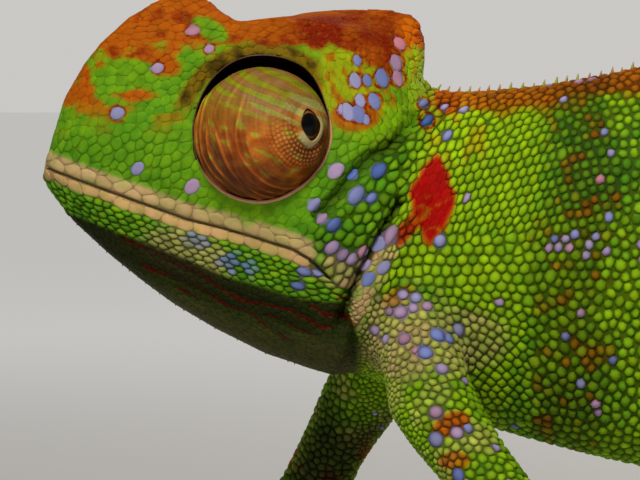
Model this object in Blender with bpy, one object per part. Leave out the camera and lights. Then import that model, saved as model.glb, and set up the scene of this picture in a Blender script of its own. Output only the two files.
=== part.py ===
"""Panther chameleon, a life-size still model of a young adult male that stands on a flat floor.

Run it with  blender --background --python part.py  or from Blender's text editor.
Metres, +Z up. The animal faces -X, its left side is towards -Y and its soles rest on Z = 0.
The profiles below are in millimetres, measured from below the centre of the eyes; the last step
moves the whole animal so that the origin is below the middle of its box.
"""

import math

import bmesh
import bpy
import numpy as np
from mathutils import Matrix, Vector

MM = 0.001
GAP = 0.3  # clear gap between neighbouring solids
SIDES = {"left": -1, "right": 1}

# Head. Its own frame: ahead (towards the snout), out (sideways) and up, from between the eyes.
EYE_HEIGHT = 66.0
HEAD_PITCH = math.radians(16)  # the snout is raised by this
SNOUT_AHEAD = 20.6
NAPE_AHEAD = -14.3
NAPE_UP, THROAT_UP = 8.8, -21.0  # where the neck starts, above and below
SNOUT_ROUNDING_FROM = 15.5

EYE_OUT = 7.4
TURRET_RADIUS = 6.75
LID_CONE = 1.15  # how far the lid stands out round the pupil
LID_CONE_WIDTH = math.radians(26)
PUPIL_SLIT = (1.3, 1.75)  # half sizes of the opening in the lid, across and along
EYEBALL_RADIUS = 2.3
EYEBALL_DEPTH = 5.15  # the eyeball's centre from the turret's centre
WALL_BETWEEN_SOCKETS = 4.4
GAZE = {"left": (0.66, -0.73, 0.14), "right": (-0.28, 0.95, 0.05)}

# Trunk and tail
TAIL_RUN = 47.0  # the part of the tail that bends little
COIL_RADIUS = 16.6  # radius of curvature where the coil starts
COIL_TIGHTENING = 0.0951  # radius lost for each millimetre of tail
TAIL_LENGTH = 165.0
TAIL_COILS = 6
TAIL_SLOPE = math.radians(-8)
TAIL_DRIFT = 3.0  # how far the tip stands to the right of the body's middle

# Limbs: the root inside the trunk, where it leaves the trunk, elbow or knee, and wrist or ankle
LIMBS = {
    "arm_left": ((16.0, -4.0, 51.0), (15.4, -9.4, 43.8), (25.0, -20.5, 28.5), (12.0, -22.0, 6.0)),
    "arm_right": ((17.0, 4.0, 48.5), (11.4, 10.4, 39.8), (5.0, 18.0, 27.5), (-4.8, 20.0, 6.0)),
    "leg_left": ((114.0, -3.0, 54.0), (109.5, -8.5, 48.5), (95.0, -21.5, 34.0), (101.0, -23.0, 6.0)),
    "leg_right": ((114.0, 3.0, 54.0), (111.5, 9.0, 47.5), (103.5, 21.0, 31.0), (119.0, 23.5, 6.0)),
}
# Radii along the upper and the lower length of a limb, as (share of the length, millimetres)
UPPER_ARM = ((0, 3.4), (0.3, 4.7), (0.65, 3.75), (1, 3.4))
FOREARM = ((0, 3.5), (0.3, 3.75), (0.75, 2.75), (1, 2.55))
THIGH = ((0, 6.6), (0.3, 6.3), (0.7, 4.8), (1, 3.9))
SHANK = ((0, 3.9), (0.3, 4.1), (0.75, 2.9), (1, 2.6))
FOOT_TURN = {"arm_left": 14, "arm_right": -10, "leg_left": 12, "leg_right": -24}  # degrees

WRIST_HEIGHT = 7.6  # where each foot is parted from its leg
TOE_REACH = 9.0  # from the middle of the foot to the end of a toe
TOE_RADII = ((0, 2.1), (0.35, 1.85), (0.78, 1.45), (0.92, 1.2), (1, 0.62))
TOE_SPACING = 2.1
SOLE_SINK = 0.3  # how much of each sole is cut off flat by the floor
CLAW_LENGTH = 2.3
CLAW_RADIUS = 0.62

FINISHES = {
    "skin": ((0.16, 0.30, 0.04, 1), 0.55),
    "eyelid": ((0.42, 0.17, 0.05, 1), 0.5),
    "eyeball": ((0.03, 0.02, 0.01, 1), 0.08),
    "claw": ((0.10, 0.07, 0.05, 1), 0.35),
}


def hermite(knots, at, monotone=True):
    """Values at the given places of a smooth curve through (place, value) knots.

    The curve never overshoots its knots if monotone, and is rounder if not."""
    knots = np.array(knots, float)
    place, value = knots[:, 0], knots[:, 1:]
    step = np.diff(place)[:, None]
    rise = np.diff(value, axis=0) / step
    slope = np.vstack([rise[:1], rise[:-1], rise[-1:]])[: len(place)]
    if len(place) > 2:
        inner = (rise[:-1] * step[1:] + rise[1:] * step[:-1]) / (step[1:] + step[:-1])
        if monotone:
            same = rise[:-1] * rise[1:] > 0
            total = np.where(same, rise[:-1] + rise[1:], 1)
            inner = np.where(same, 2 * rise[:-1] * rise[1:] / total, 0)
        slope = np.vstack([rise[:1], inner, rise[-1:]])
    at = np.clip(np.atleast_1d(np.asarray(at, float)), place[0], place[-1])
    i = np.clip(np.searchsorted(place, at, side="right") - 1, 0, len(place) - 2)
    h = step[i]
    t = ((at - place[i])[:, None]) / h
    found = (
        value[i] * (1 + 2 * t) * (1 - t) ** 2
        + slope[i] * h * t * (1 - t) ** 2
        + value[i + 1] * t**2 * (3 - 2 * t)
        + slope[i + 1] * h * t**2 * (t - 1)
    )
    return found[:, 0] if value.shape[1] == 1 else found


def through(points, count):
    """Evenly spaced points along a smooth line through the given ones."""
    points = np.array(points, float)
    along = np.concatenate([[0], np.cumsum(np.linalg.norm(np.diff(points, axis=0), axis=1))])
    knots = np.column_stack([along / along[-1], points])
    fine = hermite(knots, np.linspace(0, 1, 200), monotone=False)
    run = np.concatenate([[0], np.cumsum(np.linalg.norm(np.diff(fine, axis=0), axis=1))])
    even = np.linspace(0, run[-1], count)
    return np.column_stack([np.interp(even, run, fine[:, k]) for k in range(fine.shape[1])])


def material(name):
    found = bpy.data.materials.get(name)
    if found is None:
        colour, roughness = FINISHES[name]
        found = bpy.data.materials.new(name)
        found.use_nodes = True
        shader = found.node_tree.nodes["Principled BSDF"]
        shader.inputs["Base Color"].default_value = colour
        shader.inputs["Roughness"].default_value = roughness
        shader.inputs["Metallic"].default_value = 0.0
    return found


def solid_from_rings(name, rings, finish="skin"):
    """A closed solid whose skin passes through the rings, each a loop of points in millimetres."""
    mesh = bmesh.new()
    loops = [[mesh.verts.new(Vector(p) * MM) for p in ring] for ring in rings]
    for near, far in zip(loops, loops[1:]):
        for i in range(len(near)):
            j = (i + 1) % len(near)
            mesh.faces.new((near[i], near[j], far[j], far[i]))
    for loop in (loops[0], loops[-1]):
        middle = mesh.verts.new(sum((v.co for v in loop), Vector()) / len(loop))
        for i in range(len(loop)):
            mesh.faces.new((loop[i], loop[(i + 1) % len(loop)], middle))
    bmesh.ops.recalc_face_normals(mesh, faces=mesh.faces)
    data = bpy.data.meshes.new(name)
    mesh.to_mesh(data)
    mesh.free()
    data.shade_smooth()
    made = bpy.data.objects.new(name, data)
    made.data.materials.append(material(finish))
    bpy.context.scene.collection.objects.link(made)
    return made


def combine(target, tool, operation, keep_tool=False):
    """Applies a Boolean to the target, and removes the tool unless it is still needed."""
    step = target.modifiers.new(operation.lower(), "BOOLEAN")
    step.operation = operation
    step.object = tool
    bpy.context.view_layer.update()
    graph = bpy.context.evaluated_depsgraph_get()
    result = bpy.data.meshes.new_from_object(target.evaluated_get(graph), depsgraph=graph)
    target.modifiers.remove(step)
    target.data = result
    if not keep_tool:
        bpy.data.objects.remove(tool)
    return target


def cut_away(target, point, outward):
    """Removes what lies beyond the plane through point, on the side that outward points to."""
    mesh = bmesh.new()
    mesh.from_mesh(target.data)
    everything = mesh.verts[:] + mesh.edges[:] + mesh.faces[:]
    found = bmesh.ops.bisect_plane(
        mesh, geom=everything, dist=1e-7, plane_co=Vector(point) * MM,
        plane_no=Vector(outward).normalized(), clear_outer=True)
    rim = [item for item in found["geom_cut"] if isinstance(item, bmesh.types.BMEdge)]
    if rim:
        bmesh.ops.edgeloop_fill(mesh, edges=rim, mat_nr=0)
        bmesh.ops.recalc_face_normals(mesh, faces=mesh.faces)
    mesh.to_mesh(target.data)
    mesh.free()
    return target


def twin(source, name):
    made = source.copy()
    made.data = source.data.copy()
    made.name = name
    bpy.context.scene.collection.objects.link(made)
    return made


def head_to_world(ahead, out, up):
    """A point of the head's own frame, in millimetres of the whole animal's frame."""
    c, s = math.cos(HEAD_PITCH), math.sin(HEAD_PITCH)
    return Vector((-ahead * c + up * s, out, EYE_HEIGHT + ahead * s + up * c))


# ---------------------------------------------------------------- head

def head_profiles(ahead):
    """Sizes of the head's cross-section at a place along it: heights and half widths."""
    return {
        "crown": hermite(((-14.3, 9.8), (-14.2, 10.2), (-13.6, 12.3), (-12.8, 14.4), (-12.0, 15.4),
                          (-11.0, 15.85), (-8.7, 15.6), (-6.1, 14.85), (-3.5, 14.0), (-0.9, 13.0),
                          (1.7, 11.8), (4.2, 10.0), (7, 8.9), (11.5, 9.2), (15.5, 6.4), (20.6, 0.8)),
                         ahead)[0],
        "ridge": hermite(((-14.3, 7.6), (-12.4, 10.4), (-9, 12.0), (-4, 12.4), (0.5, 11.9),
                          (4.0, 10.75), (5.3, 10.15), (6.2, 10.2), (7.7, 10.9), (9, 11.6),
                          (11.4, 11.7), (15.0, 8.9), (18.0, 5.4), (20.6, 1.8)), ahead)[0],
        "ridge_out": hermite(((-14.3, 2.6), (-12, 3.6), (-8, 4.7), (-3, 5.8), (2, 7.0), (4, 7.3),
                              (8, 5.8), (14, 4.4), (20.6, 2.6)), ahead)[0],
        "temple": hermite(((-14.3, 2.0), (0, 2.6), (20.6, 0.0)), ahead)[0],
        "temple_out": hermite(((-14.3, 7.6), (-8, 9.2), (0, 8.9), (8, 6.9), (14, 5.7), (20.6, 3.9)),
                              ahead)[0],
        "cheek": hermite(((-14.3, -5.0), (-6, -5.6), (4, -5.8), (20.6, -4.2)), ahead)[0],
        "cheek_out": hermite(((-14.3, 9.3), (-8, 10.6), (-2, 10.2), (6, 8.0), (14, 6.1), (20.6, 4.4)),
                             ahead)[0],
        "mouth": hermite(((-14.3, -15.4), (-9.9, -11.8), (-8, -10.7), (-4.7, -9.9), (5, -9.7),
                          (14, -9.5), (20.6, -8.9)), ahead)[0],
        "lip_out": hermite(((-14.3, 9.2), (-8, 9.6), (0, 8.2), (8, 6.6), (15, 5.1), (20.6, 3.4)),
                           ahead)[0],
        "jaw_out": hermite(((-14.3, 8.8), (-8, 9.0), (0, 7.6), (8, 6.2), (15, 4.8), (20.6, 3.0)),
                           ahead)[0],
        "pouch_out": hermite(((-14.3, 7.6), (-8, 7.2), (0, 5.8), (10, 4.2), (20.6, 2.0)), ahead)[0],
        "throat": hermite(((-14.3, -21.7), (-9, -21.8), (-5.5, -21.5), (-3.3, -21.2), (0, -20.35),
                           (2.2, -19.85), (9, -17.4), (15, -14.6), (20.6, -11.3)), ahead)[0],
    }


def snout_rounding(ahead):
    """The share of its width that the snout keeps as it closes at the front."""
    t = max(0.0, (ahead - SNOUT_ROUNDING_FROM) / (SNOUT_AHEAD + 0.25 - SNOUT_ROUNDING_FROM))
    return (1 - t**2.6) ** 0.5


def ring_of_head(ahead, half):
    """Mirrors a half outline of (out, up) points, from the middle below to the middle above."""
    right = [head_to_world(ahead, out, up) for out, up in half]
    left = [head_to_world(ahead, -out, up) for out, up in half[-2:0:-1]]
    return right + left


def cranium_ring(ahead):
    p = head_profiles(ahead)
    keep = snout_rounding(ahead)
    floor = p["mouth"] + GAP / 2
    side = through(
        ((p["lip_out"], floor), (p["cheek_out"], p["cheek"]), (p["temple_out"], p["temple"]),
         (p["ridge_out"], p["ridge"])), 10)
    roof = through(
        ((p["ridge_out"], p["ridge"]), (p["ridge_out"] * 0.45, p["ridge"] * 0.45 + p["crown"] * 0.55),
         (0, p["crown"])), 5)
    half = [(0, floor), (p["lip_out"] * 0.5, floor), *map(tuple, side), *map(tuple, roof[1:])]
    height = 0.45 + 0.55 * keep
    return ring_of_head(ahead, [(out * keep, floor + (up - floor) * height) for out, up in half])


def jaw_ring(ahead):
    p = head_profiles(ahead)
    keep = snout_rounding(ahead)
    roof = p["mouth"] - GAP / 2
    deep = p["throat"] - roof
    side = through(
        ((0, p["throat"]), (p["pouch_out"] * 0.62, roof + deep * 0.93), (p["pouch_out"], roof + deep * 0.68),
         (p["jaw_out"], roof + deep * 0.28), (p["lip_out"] * 0.97, roof)), 11)
    half = [*map(tuple, side), (p["lip_out"] * 0.5, roof), (0, roof)]
    height = 0.5 + 0.5 * keep
    return ring_of_head(ahead, [(out * keep, roof + (up - roof) * height) for out, up in half])


def ball(name, centre, shape, finish, rings=14, segments=20, axis=(0, 0, 1)):
    """A closed ball whose radius is a function of the angle from its axis and the angle round it."""
    turn = Vector(axis).to_track_quat("Z", "Y").to_matrix()
    loops = []
    for i in range(1, rings):
        polar = math.pi * i / rings
        loops.append([
            Vector(centre) + turn @ (shape(polar) * Vector((
                math.sin(polar) * math.cos(a), math.sin(polar) * math.sin(a), math.cos(polar))))
            for a in (2 * math.pi * k / segments for k in range(segments))])
    return solid_from_rings(name, loops, finish)


def turret_radius(polar):
    return TURRET_RADIUS + LID_CONE * math.exp(-((polar / LID_CONE_WIDTH) ** 2))


def lid_opening(name, centre, gaze):
    """The slit in the lids: an oval rod along the line of sight."""
    turn = Vector(gaze).to_track_quat("Z", "Y").to_matrix()
    across, along = PUPIL_SLIT
    rings = []
    for reach, grow in ((EYEBALL_DEPTH, 0.9), (EYEBALL_DEPTH + 2.0, 1.0), (TURRET_RADIUS + 2.5, 1.35)):
        rings.append([
            Vector(centre) + turn @ Vector((grow * across * math.cos(a), grow * along * math.sin(a), reach))
            for a in (2 * math.pi * k / 12 for k in range(12))])
    return solid_from_rings(name, rings)


def build_eye(side, head):
    """The scaly turret, the eyeball in it, and the socket that it leaves in the head."""
    sign = SIDES[side]
    centre = head_to_world(0, sign * EYE_OUT, 0)
    gaze = Vector(GAZE[side]).normalized()
    eyeball_centre = centre + gaze * EYEBALL_DEPTH
    inner = (centre.x, sign * WALL_BETWEEN_SOCKETS / 2, centre.z)

    socket = ball("socket", centre, lambda polar: TURRET_RADIUS + GAP + 0.1, "skin",
                  axis=(0, sign, 0))
    cut_away(socket, inner, (0, -sign, 0))
    combine(head, socket, "DIFFERENCE")

    turret = ball(f"eye_turret_{side}", centre, turret_radius, "eyelid", 14, 18, axis=gaze)
    cut_away(turret, (inner[0], inner[1] + sign * 2 * GAP, inner[2]), (0, -sign, 0))
    hollow = ball("hollow", eyeball_centre, lambda polar: EYEBALL_RADIUS + GAP / 2, "eyeball", 8, 12,
                  axis=gaze)
    combine(turret, hollow, "DIFFERENCE")
    combine(turret, lid_opening("slit", centre, gaze), "DIFFERENCE")
    ball(f"eyeball_{side}", eyeball_centre, lambda polar: EYEBALL_RADIUS - GAP / 2, "eyeball", 8, 12,
         axis=gaze)


def build_head():
    """Cranium with the casque parted from it, the lower jaw with its throat pouch, and the eyes."""
    stations = [20.6, 20.2, 19.4, 18.0, 16.2, 14.0, 11.6, 9.2, 7.4, 5.4, 4.0, 2.0, -0.8, -3.6, -6.4,
                -9.0, -11.0, -12.2, -13.0, -13.6, -14.1, NAPE_AHEAD]
    head = solid_from_rings("head", [cranium_ring(a) for a in stations])
    for side in SIDES:
        build_eye(side, head)

    front, back = head_to_world(1.0, 0, 12.0), head_to_world(NAPE_AHEAD, 0, 4.6)
    along = back - front
    above = Vector((-along.z, 0, along.x)) * (1 if along.x > 0 else -1)
    casque = twin(head, "casque")
    cut_away(head, front - above.normalized() * GAP / 2, above)
    cut_away(casque, front + above.normalized() * GAP / 2, -above)

    solid_from_rings("lower_jaw", [jaw_ring(a) for a in stations[::2]])


# ---------------------------------------------------------------- neck, trunk and tail

def torso_lines(t):
    """The middle of the back, the middle of the belly and the half width, from nape to hip."""
    places = (0, 0.12, 0.26, 0.44, 0.62, 0.78, 0.9, 1)
    nape = head_to_world(NAPE_AHEAD - GAP, 0, NAPE_UP)
    throat = head_to_world(NAPE_AHEAD - GAP, 0, THROAT_UP)
    back = ((nape.x, nape.z), (22.8, 70.6), (34.0, 72.2), (52.0, 76.0), (72.0, 77.2), (92.0, 73.6),
            (108.0, 67.6), (121.0, 62.2))
    belly = ((throat.x, throat.z), (16.8, 37.6), (30.0, 33.6), (49.0, 29.8), (69.0, 28.6),
             (89.0, 31.6), (106.0, 38.4), (120.0, 45.2))
    width = (8.7, 8.9, 10.4, 12.2, 12.8, 11.4, 8.9, 7.0)
    top = hermite([(p, *b) for p, b in zip(places, back)], t, monotone=False)[0]
    low = hermite([(p, *b) for p, b in zip(places, belly)], t, monotone=False)[0]
    return top, low, hermite(list(zip(places, width)), t)[0]


def torso_ring(t, grow=0.0, sides=24):
    """A tall leaf-shaped section, with a narrow keel along the back and a blunter one below."""
    top, low, width = torso_lines(t)
    middle, half = (top + low) / 2, (top - low) / 2
    height = np.linalg.norm(half)
    up = half / height
    keel = 0.34 * min(1.0, 0.4 + 2 * t)
    ring = []
    for k in range(sides):
        a = 2 * math.pi * k / sides
        c, s = math.cos(a), math.sin(a)
        pinch = keel * max(0.0, c) ** 4 + 0.16 * max(0.0, -c) ** 6
        out = (width + grow) * math.copysign(abs(s) ** 0.86, s) * (1 - pinch)
        rise = (height + grow) * c
        ring.append((middle[0] + up[0] * rise, out, middle[1] + up[1] * rise))
    return ring


def torso(name, start, end, count, grow=0.0):
    return solid_from_rings(name, [torso_ring(t, grow) for t in np.linspace(start, end, count)])


def tail_line(count=401):
    """Distance, place, slope and radius of curvature along the middle of the tail."""
    top, low, _ = torso_lines(1)
    start = (top + low) / 2
    along = np.linspace(0, TAIL_LENGTH, count)
    ramp = np.clip(along / TAIL_RUN, 0, 1)
    bend = np.where(
        along < TAIL_RUN,
        (ramp**2 * (3 - 2 * ramp)) / COIL_RADIUS,
        1 / (COIL_RADIUS - COIL_TIGHTENING * np.maximum(0, along - TAIL_RUN)))
    step = along[1]
    slope = TAIL_SLOPE - np.concatenate([[0], np.cumsum((bend[1:] + bend[:-1]) / 2 * step)])
    middle = (slope[1:] + slope[:-1]) / 2
    x = start[0] + np.concatenate([[0], np.cumsum(np.cos(middle) * step)])
    z = start[1] + np.concatenate([[0], np.cumsum(np.sin(middle) * step)])
    return along, x, z, slope


def tail_ring(at, line, sides=16):
    along, xs, zs, slopes = line
    x, z, slope = (np.interp(at, along, v) for v in (xs, zs, slopes))
    tall = hermite(((0, 9.0), (12, 6.9), (26, 5.1), (TAIL_RUN, 3.6), (100, 2.3), (150, 1.3),
                    (TAIL_LENGTH, 0.7)), at)[0]
    wide = hermite(((0, 6.9), (9, 5.7), (26, 4.2), (TAIL_RUN, 3.0), (100, 2.0), (150, 1.15),
                    (TAIL_LENGTH, 0.65)), at)[0]
    drift = TAIL_DRIFT * (at / TAIL_LENGTH) ** 1.5
    ring = []
    for k in range(sides):
        a = 2 * math.pi * k / sides
        rise, out = tall * math.cos(a), wide * math.sin(a)
        ring.append((x - math.sin(slope) * rise, drift + out, z + math.cos(slope) * rise))
    return ring


def build_body():
    torso("neck", 0.0, 0.21, 6)
    torso("trunk", 0.2135, 0.9962, 18)
    line = tail_line()
    ends = [GAP / 2, TAIL_RUN, *np.linspace(TAIL_RUN, TAIL_LENGTH, TAIL_COILS + 1)[1:]]
    names = ["tail_base"] + [f"tail_coil_{i + 1}" for i in range(TAIL_COILS)]
    for name, start, end in zip(names, ends, ends[1:]):
        places = np.linspace(start + GAP / 2, end - GAP / 2, 7)
        sides = 16 if name == "tail_base" else 10
        solid_from_rings(name, [tail_ring(at, line, sides) for at in places])


# ---------------------------------------------------------------- limbs and feet

def tube_rings(path, radii, sides, flatten=1.0, flat_axis=(0, 1, 0)):
    """Rings square to a path. Across flat_axis the tube is flatten times as thick."""
    ahead = np.gradient(path, axis=0)
    rings = []
    for centre, forward, radius in zip(path, ahead, radii):
        forward = Vector(forward).normalized()
        thin = Vector(flat_axis)
        thin = (thin - forward * thin.dot(forward)).normalized()
        wide = forward.cross(thin)
        rings.append([
            Vector(centre) + wide * radius * math.cos(a) + thin * radius * flatten * math.sin(a)
            for a in (2 * math.pi * k / sides for k in range(sides))])
    return rings


def build_limb(name, joints, body):
    """The upper and lower lengths of a limb, mitred at the bend and trimmed where they leave the body."""
    root, out, bend, wrist = (Vector(j) for j in joints)
    upper, lower = ("upper_arm", "forearm") if name.startswith("arm") else ("thigh", "shank")
    upper_radii, lower_radii = (UPPER_ARM, FOREARM) if name.startswith("arm") else (THIGH, SHANK)
    side = name.split("_")[1]
    down, on = (bend - out).normalized(), (wrist - bend).normalized()
    mitre = (down + on).normalized()
    overrun = lower_radii[0][1] * 1.3

    path = through((root, out, bend, bend + down * overrun), 9)
    shares = np.linspace(0, 1, len(path))
    made = solid_from_rings(f"{upper}_{side}", tube_rings(path, hermite(upper_radii, shares), 12, 0.92))
    cut_away(made, bend - mitre * GAP / 2, mitre)
    combine(made, body, "DIFFERENCE", keep_tool=True)

    path = through((bend - on * overrun, bend, wrist), 8)
    made = solid_from_rings(f"{lower}_{side}", tube_rings(path, hermite(lower_radii, shares[:8] / shares[7]),
                                                          12, 0.92))
    cut_away(made, bend + mitre * GAP / 2, -mitre)
    cut_away(made, (0, 0, WRIST_HEIGHT), (0, 0, -1))
    return Vector((wrist.x, wrist.y, WRIST_HEIGHT))


def toe_path(wrist, direction, sideways, lane):
    """A toe from the middle of the foot to its tip, low and level, its lane fanned to one side."""
    start, end = TOE_RADII[0][1], TOE_RADII[-2][1]
    points = (
        wrist + Vector((0, 0, start - 4.2)) - direction * (1.2 + 0.17 * lane) + sideways * lane * 0.55,
        Vector((wrist.x, wrist.y, 3.5)) + direction * 2.6 + sideways * lane * 0.8,
        Vector((wrist.x, wrist.y, 1.75 - SOLE_SINK)) + direction * 6.0 + sideways * lane,
        Vector((wrist.x, wrist.y, end - SOLE_SINK)) + direction * TOE_REACH + sideways * lane * 1.35,
    )
    return through(points, 7)


def build_claw(name, path):
    """A curved claw that leaves the toe's tip and bends down to the floor."""
    tip = Vector(path[-1])
    ahead = (tip - Vector(path[-2])).normalized()
    level = Vector((ahead.x, ahead.y, 0)).normalized()
    start = tip + ahead * (GAP + 0.05)
    rings = []
    for t in np.linspace(0, 1, 4):
        centre = start + level * CLAW_LENGTH * t + Vector((0, 0, 0.55 * t - 1.05 * t * t))
        forward = (level + Vector((0, 0, (0.55 - 2.1 * t) / CLAW_LENGTH))).normalized()
        side = forward.cross(Vector((0, 0, 1))).normalized()
        up = side.cross(forward)
        radius = CLAW_RADIUS * (1 - 0.86 * t**1.3)
        rings.append([
            centre + side * radius * 0.8 * math.cos(a) + up * radius * math.sin(a)
            for a in (2 * math.pi * k / 5 for k in range(5))])
    claw = solid_from_rings(name, rings, "claw")
    return cut_away(claw, (0, 0, 0), (0, 0, -1))


def build_foot(name, wrist):
    """Two bundles of joined toes that spread to either side like tongs, with a claw to each toe."""
    kind, side = name.split("_")
    label = "hand" if kind == "arm" else "foot"
    sign = SIDES[side]
    turn = Matrix.Rotation(math.radians(FOOT_TURN[name]), 3, "Z")
    # A fore foot has three toes on its inner bundle and two on its outer one, a hind foot the reverse.
    inner, outer = (3, 2) if kind == "arm" else (2, 3)
    for part, way, toes in (("inner", -sign, inner), ("outer", sign, outer)):
        across = turn @ Vector((0, way, 0))
        direction = turn @ Vector((-0.25, way, 0)).normalized()
        sideways = Vector((-direction.y, direction.x, 0))
        bundle = None
        for toe in range(toes):
            lane = (toe - (toes - 1) / 2) * TOE_SPACING
            path = toe_path(wrist, direction, sideways, lane)
            radii = hermite(TOE_RADII, np.linspace(0, 1, len(path)))
            made = solid_from_rings(f"{label}_{side}_{part}", tube_rings(path, radii, 8, 1, (0, 0, 1)))
            bundle = made if bundle is None else combine(bundle, made, "UNION")
            build_claw(f"claw_{label}_{side}_{part}_{toe + 1}", path)
        bundle.name = f"{label}_{side}_{part}"
        cut_away(bundle, wrist + across * GAP / 2, -across)
        cut_away(bundle, (0, 0, WRIST_HEIGHT - GAP), (0, 0, 1))
        cut_away(bundle, (0, 0, 0), (0, 0, -1))


def build_limbs():
    body = torso("body_guide", 0.0, 1.0, 20, grow=GAP)
    for name, joints in LIMBS.items():
        build_foot(name, build_limb(name, joints, body))
    bpy.data.objects.remove(body)


# ---------------------------------------------------------------- the whole animal

def clear_scene():
    for thing in list(bpy.data.objects):
        bpy.data.objects.remove(thing)


def set_origin():
    """Moves the animal so that the origin is on the floor, below the middle of its box."""
    solids = [o for o in bpy.data.objects if o.type == "MESH"]
    corners = [v.co for o in solids for v in o.data.vertices]
    middle = [(min(c[k] for c in corners) + max(c[k] for c in corners)) / 2 for k in (0, 1)]
    for o in solids:
        o.data.transform(Matrix.Translation((-middle[0], -middle[1], 0)))


def main():
    clear_scene()
    build_head()
    build_body()
    build_limbs()
    set_origin()


main()
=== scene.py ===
"""Looks of a life-size panther chameleon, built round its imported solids.

One skin lies under a coat of solid scales; the eye turrets, eyeballs, crests and claws are pieces of
their own. Lengths are metres unless a name ends in _mm. A place on the head or shoulder is given as
(back, rise): millimetres towards the tail and upwards from the centre of the eyes.
"""

import functools
import itertools
import math

import bmesh
import bpy
import numpy as np
from bpy.props import FloatProperty, FloatVectorProperty, IntProperty, PointerProperty
from bpy.types import Operator, Panel, PropertyGroup
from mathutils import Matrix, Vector
from mathutils.bvhtree import BVHTree
from mathutils.kdtree import KDTree


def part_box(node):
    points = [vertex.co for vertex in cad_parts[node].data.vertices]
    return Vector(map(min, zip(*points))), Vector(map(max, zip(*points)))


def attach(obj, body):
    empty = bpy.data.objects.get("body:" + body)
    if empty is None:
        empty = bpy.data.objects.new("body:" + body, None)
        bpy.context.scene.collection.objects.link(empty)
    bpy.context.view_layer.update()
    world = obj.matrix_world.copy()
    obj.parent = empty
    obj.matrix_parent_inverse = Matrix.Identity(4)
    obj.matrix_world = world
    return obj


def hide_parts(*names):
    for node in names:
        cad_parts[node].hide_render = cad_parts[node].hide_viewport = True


bl_info = {
    "name": "Panther chameleon",
    "version": (1, 0, 0),
    "blender": (4, 5, 0),
    "location": "3D View > Sidebar > Chameleon",
    "description": "Builds the skin, scales, crests, eyes and claws of a panther chameleon",
    "category": "Add Mesh",
}

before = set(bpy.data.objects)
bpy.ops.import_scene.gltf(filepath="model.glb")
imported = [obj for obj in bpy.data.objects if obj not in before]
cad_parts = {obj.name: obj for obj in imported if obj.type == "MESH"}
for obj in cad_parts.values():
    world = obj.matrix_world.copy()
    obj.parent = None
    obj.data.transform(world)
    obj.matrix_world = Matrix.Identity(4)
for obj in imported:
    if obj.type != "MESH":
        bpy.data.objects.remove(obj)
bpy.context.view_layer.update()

MM = 0.001
BODY = "root"
SIDES = {"left": -1, "right": 1}


def middle(node):
    low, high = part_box(node)
    return (low + high) / 2


# Landmarks, from the frame
EYES = Vector((middle("eye_turret_left").x, middle("head").y, middle("eye_turret_left").z))
TURRET_RADIUS = (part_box("eye_turret_left")[1].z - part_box("eye_turret_left")[0].z) / 2 + 0.0001
TURRET_OUT = 0.0074
TURRET = {name: EYES + Vector((0, sign * TURRET_OUT, 0)) for name, sign in SIDES.items()}
EYEBALL = {name: middle(f"eyeball_{name}") for name in SIDES}
GAZE = {name: (EYEBALL[name] - TURRET[name]).normalized() for name in SIDES}
HEAD_NODES = ("head", "casque", "lower_jaw")
FLESH = [n for n in sorted(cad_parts) if not n.startswith(("claw", "eye"))]

# Lines on the head, as (back, rise). The mouth runs from the snout's tip to its corner.
MOUTH = ((-22.6, -3.3), (-7.6, -8.5), (-3.6, -9.45), (0.4, -10.6), (3.1, -11.4), (4.6, -12.3),
         (6.6, -14.2))
JAW_CREASE = ((13.6, -6.8), (12.5, -8.5), (11.6, -10.1), (10.6, -12.1), (9.5, -14.1), (8.7, -15.8),
              (8.0, -18.4))
TEMPLE_GROOVE = ((15.6, 1.6), (12.8, -1.1), (10.3, -2.5), (8.6, -4.4), (7.2, -6.2), (5.6, -7.7))
THROAT_EDGE = ((-22.6, -7.0), (-7.6, -12.4), (-3.5, -14.2), (-0.2, -15.0), (2.6, -15.9), (5.5, -16.4),
               (8.2, -16.4), (9.2, -19.5), (10.6, -23.6))
CROWN_EDGE = ((-20, 7.5), (-6, 9.4), (3, 8.2), (9, 6.8), (16, 5.4))
# Where the crown's orange begins
CROWN_COLOUR = ((-20, 7.5), (-12, 8.2), (-6, 8.8), (-2.7, 9.1), (-1, 9.1), (0.6, 8.3), (2.3, 9.0),
                (3.9, 8.7), (7.2, 8.0), (8.8, 8.2), (10.5, 6.8), (12.1, 5.8), (13.8, 7.4), (15.5, 8.2))
# Lines on the body: the ridge of the back and the middle of the pale stripe
BACK_LINE = ((15, 4.5), (25, 4.7), (37, 6.2), (52, 10.0), (72, 11.2), (92, 7.6), (121, -3.8))
STRIPE_LINE = ((22, -10), (45, -12.5), (75, -12.5), (100, -11.5), (121, -11))
SHOULDER = (14.6, -34.3)
TAIL_COIL = (143.0, -39.0)
NAPE_PATCH = (19.5, 0.5)
NAPE_RADII = (3.2, 4.0)
# The red patch of the neck: a diamond with round sides
RED_PATCH = (16.85, -6.5)
RED_PATCH_RADII = (2.15, 4.05)
RED_PATCH_LEAN = -4
DIAMOND = 1.35
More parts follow.
